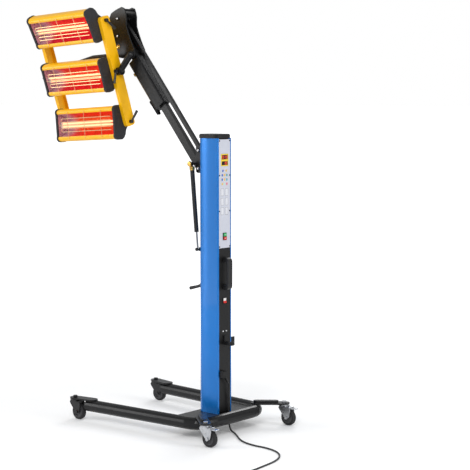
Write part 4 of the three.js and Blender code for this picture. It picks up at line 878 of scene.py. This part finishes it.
# Domed nuts on the four pins, and a brass nut with a washer low on the bracket's near cheek
pin_nut_radius = 0.0062
for pin_name, at, nut_body in (
    ("bracket_high", (-619.85, -45, 2007.4), "coupler"),
    ("bracket_low", (-619.85, -45, 1920.4), "coupler"),
    ("rail_high", (-95, -24, 1359.3), "stand"),
    ("rail_low", (-95, -24, 1272.3), "stand"),
):
    dome_screw(
        f"{pin_name}_nut", local(*at), (0, -1, 0), pin_nut_radius, bright_screw, nut_body
    )
bracket_nut = start_piece("bracket_brass_nut")
turn(
    [
        (0, -0.0002), (0.011, -0.0002), (0.011, 0.0016), (0.0085, 0.002), (0.0085, 0.006),
        (0.006, 0.0075), (0, 0.0075),
    ],
    local(-617, -40, 1867),
    (0, -1, 0),
    24,
)
end_piece(bracket_nut, brass, "coupler", bevel=0.0003)

# Lamp frame
# A black neck leads from the end bracket to two folded channels, powder coated in the yellow
# of the housings. A bent black tube ties them behind the middle lamp, and levers with moulded
# handles clamp the frame in the neck's hub and the outer lamps in the frame.
dress(black_coat, "head_neck", "cross_tube")
dress(moulded_black, "neck_clamp_lever", "lamp_top_lever", "lamp_bottom_lever")
# Its brighter yellow edges are partly wear and partly a painted highlight.
lamp_yellow = surface(
    "lamp_yellow", (0.98, 0.5, 0.003), 0.32, tone=0.04, tone_scale=12, grain=0.04, grain_scale=700,
    rounding=0.0012, edge=(1.0, 0.68, 0.1), coat=0.1, shine=0.3,
)
dress(lamp_yellow, "head_bar_right")
# The neck, and the frame with it, is turned on its flange. The left channel's side pin is black.
neck_turn = radians(3)
neck_flange = local(-516.05, 0, 1826.04)
along_head = Vector((cos(neck_turn), 0, sin(neck_turn)))
pin_from_flange, pin_black = 0.55145, (0.006, 0.006, 0.0065)
pin_plane = pin_from_flange - along_head.dot(neck_flange)
yellow_with_pin = two_tone(lamp_yellow, "lamp_yellow_pin", -along_head, pin_plane, pin_black)
dress(yellow_with_pin, "head_bar_left")

# Lamp cassettes
# Each has a rolled yellow housing, a hammered bright trough, two glowing quartz tubes in
# ceramic holders, cast black end caps and a plated wire guard.
guard_wire = surface(
    "guard_wire", (1.0, 0.72, 0.38), 0.25, metallic=0.8, tone=0.08, tone_scale=40, grain=0.02,
    rough_spread=0.05,
)
# Its paler edges are partly wear and partly a painted highlight.
cap_black = surface(
    "cap_black", (0.014, 0.014, 0.018), 0.42, tone=0.2, tone_scale=30, rounding=0.001,
    edge=(0.07, 0.07, 0.08), shine=0.45,
)
# Slanting ribs across the end caps
ribs = cap_black.node_tree
rib_wave = add_node(ribs, "TexWave", Scale=55.0, Distortion=0.4, Detail=1.0)
rib_wave.wave_type = "BANDS"
rib_wave.bands_direction = "DIAGONAL"
rib_where = add_node(ribs, "TexCoord")
rib_bump = add_node(ribs, "Bump", Strength=0.9, Distance=0.002)
cap_shader = ribs.nodes["Principled BSDF"]
fine_bump = cap_shader.inputs["Normal"].links[0].from_node
ribs.links.new(rib_where.outputs["Object"], rib_wave.inputs["Vector"])
ribs.links.new(rib_wave.outputs["Fac"], rib_bump.inputs["Height"])
ribs.links.new(fine_bump.outputs["Normal"], rib_bump.inputs["Normal"])
ribs.links.new(rib_bump.outputs["Normal"], cap_shader.inputs["Normal"])


def hammered(name, painted_glow_centre, painted_glow_rim, start, along, up):
    # Hammered sheet with the tubes' light painted on as a glow: brightest behind them, deeper red
    # at the rims, and a pale mauve at the end that lies at start, where the painted glow fades.
    made = bpy.data.materials.new(name)
    made.use_nodes = True
    tree = made.node_tree
    shader = tree.nodes["Principled BSDF"]
    shader.inputs["Metallic"].default_value = 0.85
    shader.inputs["Roughness"].default_value = 0.3
    where = add_node(tree, "TexCoord")
    dents = add_node(tree, "TexVoronoi", Scale=170.0)
    tree.links.new(where.outputs["Object"], dents.inputs["Vector"])
    bump = add_node(tree, "Bump", Strength=0.9, Distance=0.0022)
    tree.links.new(dents.outputs["Distance"], bump.inputs["Height"])
    tree.links.new(bump.outputs["Normal"], shader.inputs["Normal"])
    reach = {}
    for axis_name, axis, low, high in (("along", along, 0.025, 0.105), ("up", up, 0.008, 0.056)):
        dot = add_node(tree, "VectorMath", "DOT_PRODUCT")
        dot.inputs[1].default_value = axis
        tree.links.new(where.outputs["Object"], dot.inputs[0])
        past = add_node(tree, "Math", "SUBTRACT")
        past.inputs[1].default_value = Vector(axis).dot(start)
        tree.links.new(dot.outputs["Value"], past.inputs[0])
        away = add_node(tree, "Math", "ABSOLUTE")
        tree.links.new(past.outputs[0], away.inputs[0])
        share = add_node(tree, "MapRange", From_Min=low, From_Max=high)
        share.interpolation_type = "SMOOTHSTEP"
        tree.links.new(away.outputs[0], share.inputs["Value"])
        reach[axis_name] = share.outputs["Result"]
    # The emission is painted light: the tubes' glow painted onto the sheet, fading towards the rims
    # and the start end.
    painted_glow_ramp = add_node(tree, "ValToRGB")
    painted_glow_ramp.color_ramp.elements[0].color = (*painted_glow_centre, 1)
    painted_glow_ramp.color_ramp.elements[1].color = (*painted_glow_rim, 1)
    tree.links.new(reach["up"], painted_glow_ramp.inputs["Fac"])
    painted_glow_fade = add_node(tree, "Mix")
    painted_glow_fade.data_type = "RGBA"
    painted_glow_fade.inputs["A"].default_value = (0.3, 0.12, 0.15, 1)
    tree.links.new(reach["along"], painted_glow_fade.inputs["Factor"])
    tree.links.new(painted_glow_ramp.outputs["Color"], painted_glow_fade.inputs["B"])
    tree.links.new(painted_glow_fade.outputs["Result"], shader.inputs["Emission Color"])
    # Each dent gets its own emission strength, painted glints.
    painted_glint_facet = add_node(tree, "SeparateColor")
    tree.links.new(dents.outputs["Color"], painted_glint_facet.inputs[0])
    strength = add_node(tree, "MapRange", To_Min=0.22, To_Max=0.72)
    tree.links.new(painted_glint_facet.outputs[0], strength.inputs["Value"])
    tree.links.new(strength.outputs["Result"], shader.inputs["Emission Strength"])
    # The base colour turns red away from the start end, a painted reflection of the tubes' glow.
    painted_reflection_ramp = add_node(tree, "ValToRGB")
    painted_reflection_ramp.color_ramp.elements[0].color = (0.6, 0.48, 0.54, 1)
    painted_reflection_ramp.color_ramp.elements[1].color = (0.36, 0.015, 0.012, 1)
    tree.links.new(reach["along"], painted_reflection_ramp.inputs["Fac"])
    tree.links.new(painted_reflection_ramp.outputs["Color"], shader.inputs["Base Color"])
    return made


quartz_glow = glow("quartz_glow", (1.0, 0.47, 0.24), 1.3)
# The end plates of the trough show dark pits of painted shade and a faint painted glow of the
# tubes' light.
plate_mauve = surface(
    "plate_mauve", (0.5, 0.36, 0.4), 0.4, metallic=0.55, tone=0.2, tone_scale=60, grain=0.2,
    grain_scale=300, rough_spread=0.1,
)
pits = plate_mauve.node_tree
pit_shader = pits.nodes["Principled BSDF"]
pit_place = add_node(pits, "TexCoord")
pit_cells = add_node(pits, "TexVoronoi", Scale=125.0)
pit_shade_and_glow_ramp = add_node(pits, "ValToRGB")
pit_shade_and_glow_ramp.color_ramp.elements[0].position = 0.18
pit_shade_and_glow_ramp.color_ramp.elements[0].color = (0.05, 0.02, 0.03, 1)
pit_shade_and_glow_ramp.color_ramp.elements[1].position = 0.42
pit_shade_and_glow_ramp.color_ramp.elements[1].color = (0.46, 0.3, 0.35, 1)
pits.links.new(pit_place.outputs["Object"], pit_cells.inputs["Vector"])
pits.links.new(pit_cells.outputs["Distance"], pit_shade_and_glow_ramp.inputs["Fac"])
pits.links.new(pit_shade_and_glow_ramp.outputs["Color"], pit_shader.inputs["Base Color"])
pits.links.new(pit_shade_and_glow_ramp.outputs["Color"], pit_shader.inputs["Emission Color"])
# A faint painted glow, standing in for the tubes' light on the plates.
pit_shader.inputs["Emission Strength"].default_value = 0.12
ceramic = surface("cream_ceramic", (0.75, 0.66, 0.55), 0.5, tone=0.06, rounding=0.0006)
# The frame is tilted about an axis in the neck's hub.
tilt_angle = radians(16)
tilt_axis = local(0, -80, 1747.04)


def on_head(x, y, z, swing, at):
    # A place on a lamp, given upright about its own pivot at a height on the frame, carried to
    # the lamp's swing and to the tilted and turned frame.
    depth, height = y * cos(swing) - z * sin(swing), y * sin(swing) + z * cos(swing) + at
    out = depth * cos(tilt_angle) - height * sin(tilt_angle)
    up = depth * sin(tilt_angle) + height * cos(tilt_angle)
    ahead, above = x / 1000 + mast_x - neck_flange.x, tilt_axis.z + up / 1000 - neck_flange.z
    return Vector(
        (
            neck_flange.x + ahead * cos(neck_turn) - above * sin(neck_turn),
            tilt_axis.y + out / 1000,
            neck_flange.z + ahead * sin(neck_turn) + above * cos(neck_turn),
        )
    )


lamp_pitch = 261
trough_left = -1029.45
half_rim = [(-18.6, 15.5), (-26.4, 27.9), (-48, 44.4), (-79, 58), (-85, 56.8)]
rim = half_rim + [(y, -z) for y, z in reversed(half_rim)]
end_plates, plate_thickness = (("left", -1029.1), ("right", -619.6)), 0.0006
tube_y, tube_rows = -62, (-8, 8)
tube_left, tube_radius, tube_length = -1015.35, 0.0052, 0.3826
holder_spans, holder_radius = ((-1028.4, -1015.4), (-632.7, -619.7)), 0.0078
# Each lamp's trough gets its painted glow colours, behind the tubes and at the rims.
for lamp_name, swing, at, painted_glow_centre, painted_glow_rim, lamp_body in (
    ("top", radians(9), lamp_pitch, (1.0, 0.05, 0.03), (0.62, 0.0, 0.03), "lamp_top"),
    ("middle", 0.0, 0, (1.0, 0.09, 0.02), (0.72, 0.006, 0.02), "head"),
    ("bottom", radians(-14), -lamp_pitch, (1.0, 0.16, 0.02), (0.85, 0.02, 0.01), "lamp_bottom"),
):
    dress(lamp_yellow, f"lamp_{lamp_name}_housing")
    dress(cap_black, f"lamp_{lamp_name}_cap_left", f"lamp_{lamp_name}_cap_right")
    dress(guard_wire, f"lamp_{lamp_name}_guard")
    trough_start = on_head(trough_left, 0, 0, swing, at)
    upward = (on_head(trough_left, 0, 1, swing, at) - trough_start).normalized()
    sheet = hammered(
        f"hammered_{lamp_name}", painted_glow_centre, painted_glow_rim, trough_start, along_head, tuple(upward)
    )
    dress(sheet, f"lamp_{lamp_name}_reflector")
    for side_name, low in end_plates:
        plate = start_piece(f"trough_end_{lamp_name}_{side_name}")
        bpy.ops.mesh.primitive_circle_add(vertices=len(rim), radius=0.05, fill_type="NGON")
        bpy.ops.object.mode_set(mode="OBJECT")
        for corner, (y, z) in zip(plate.data.vertices, rim):
            corner.co = on_head(low, y, z, swing, at)
        bpy.ops.object.mode_set(mode="EDIT")
        bpy.ops.mesh.select_all(action="SELECT")
        bpy.ops.mesh.extrude_region_move(
            TRANSFORM_OT_translate={"value": along_head * plate_thickness}
        )
        end_piece(plate, plate_mauve, lamp_body)
    tubes = start_piece(f"quartz_tubes_{lamp_name}")
    for row in tube_rows:
        turn(
            [(0, 0), (tube_radius, 0), (tube_radius, tube_length), (0, tube_length)],
            on_head(tube_left, tube_y, row, swing, at),
            along_head,
            24,
        )
    end_piece(tubes, quartz_glow, lamp_body)
    holders = start_piece(f"tube_holders_{lamp_name}")
    for low, high in holder_spans:
        long = (high - low) / 1000
        for row in tube_rows:
            turn(
                [(0, 0), (holder_radius, 0), (holder_radius, long), (0, long)],
                on_head(low, tube_y, row, swing, at),
                along_head,
                24,
            )
    end_piece(holders, ceramic, lamp_body, bevel=0.0006)
    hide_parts(f"lamp_{lamp_name}_heater")
    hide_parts(f"lamp_{lamp_name}_heater")

bpy.context.view_layer.update()
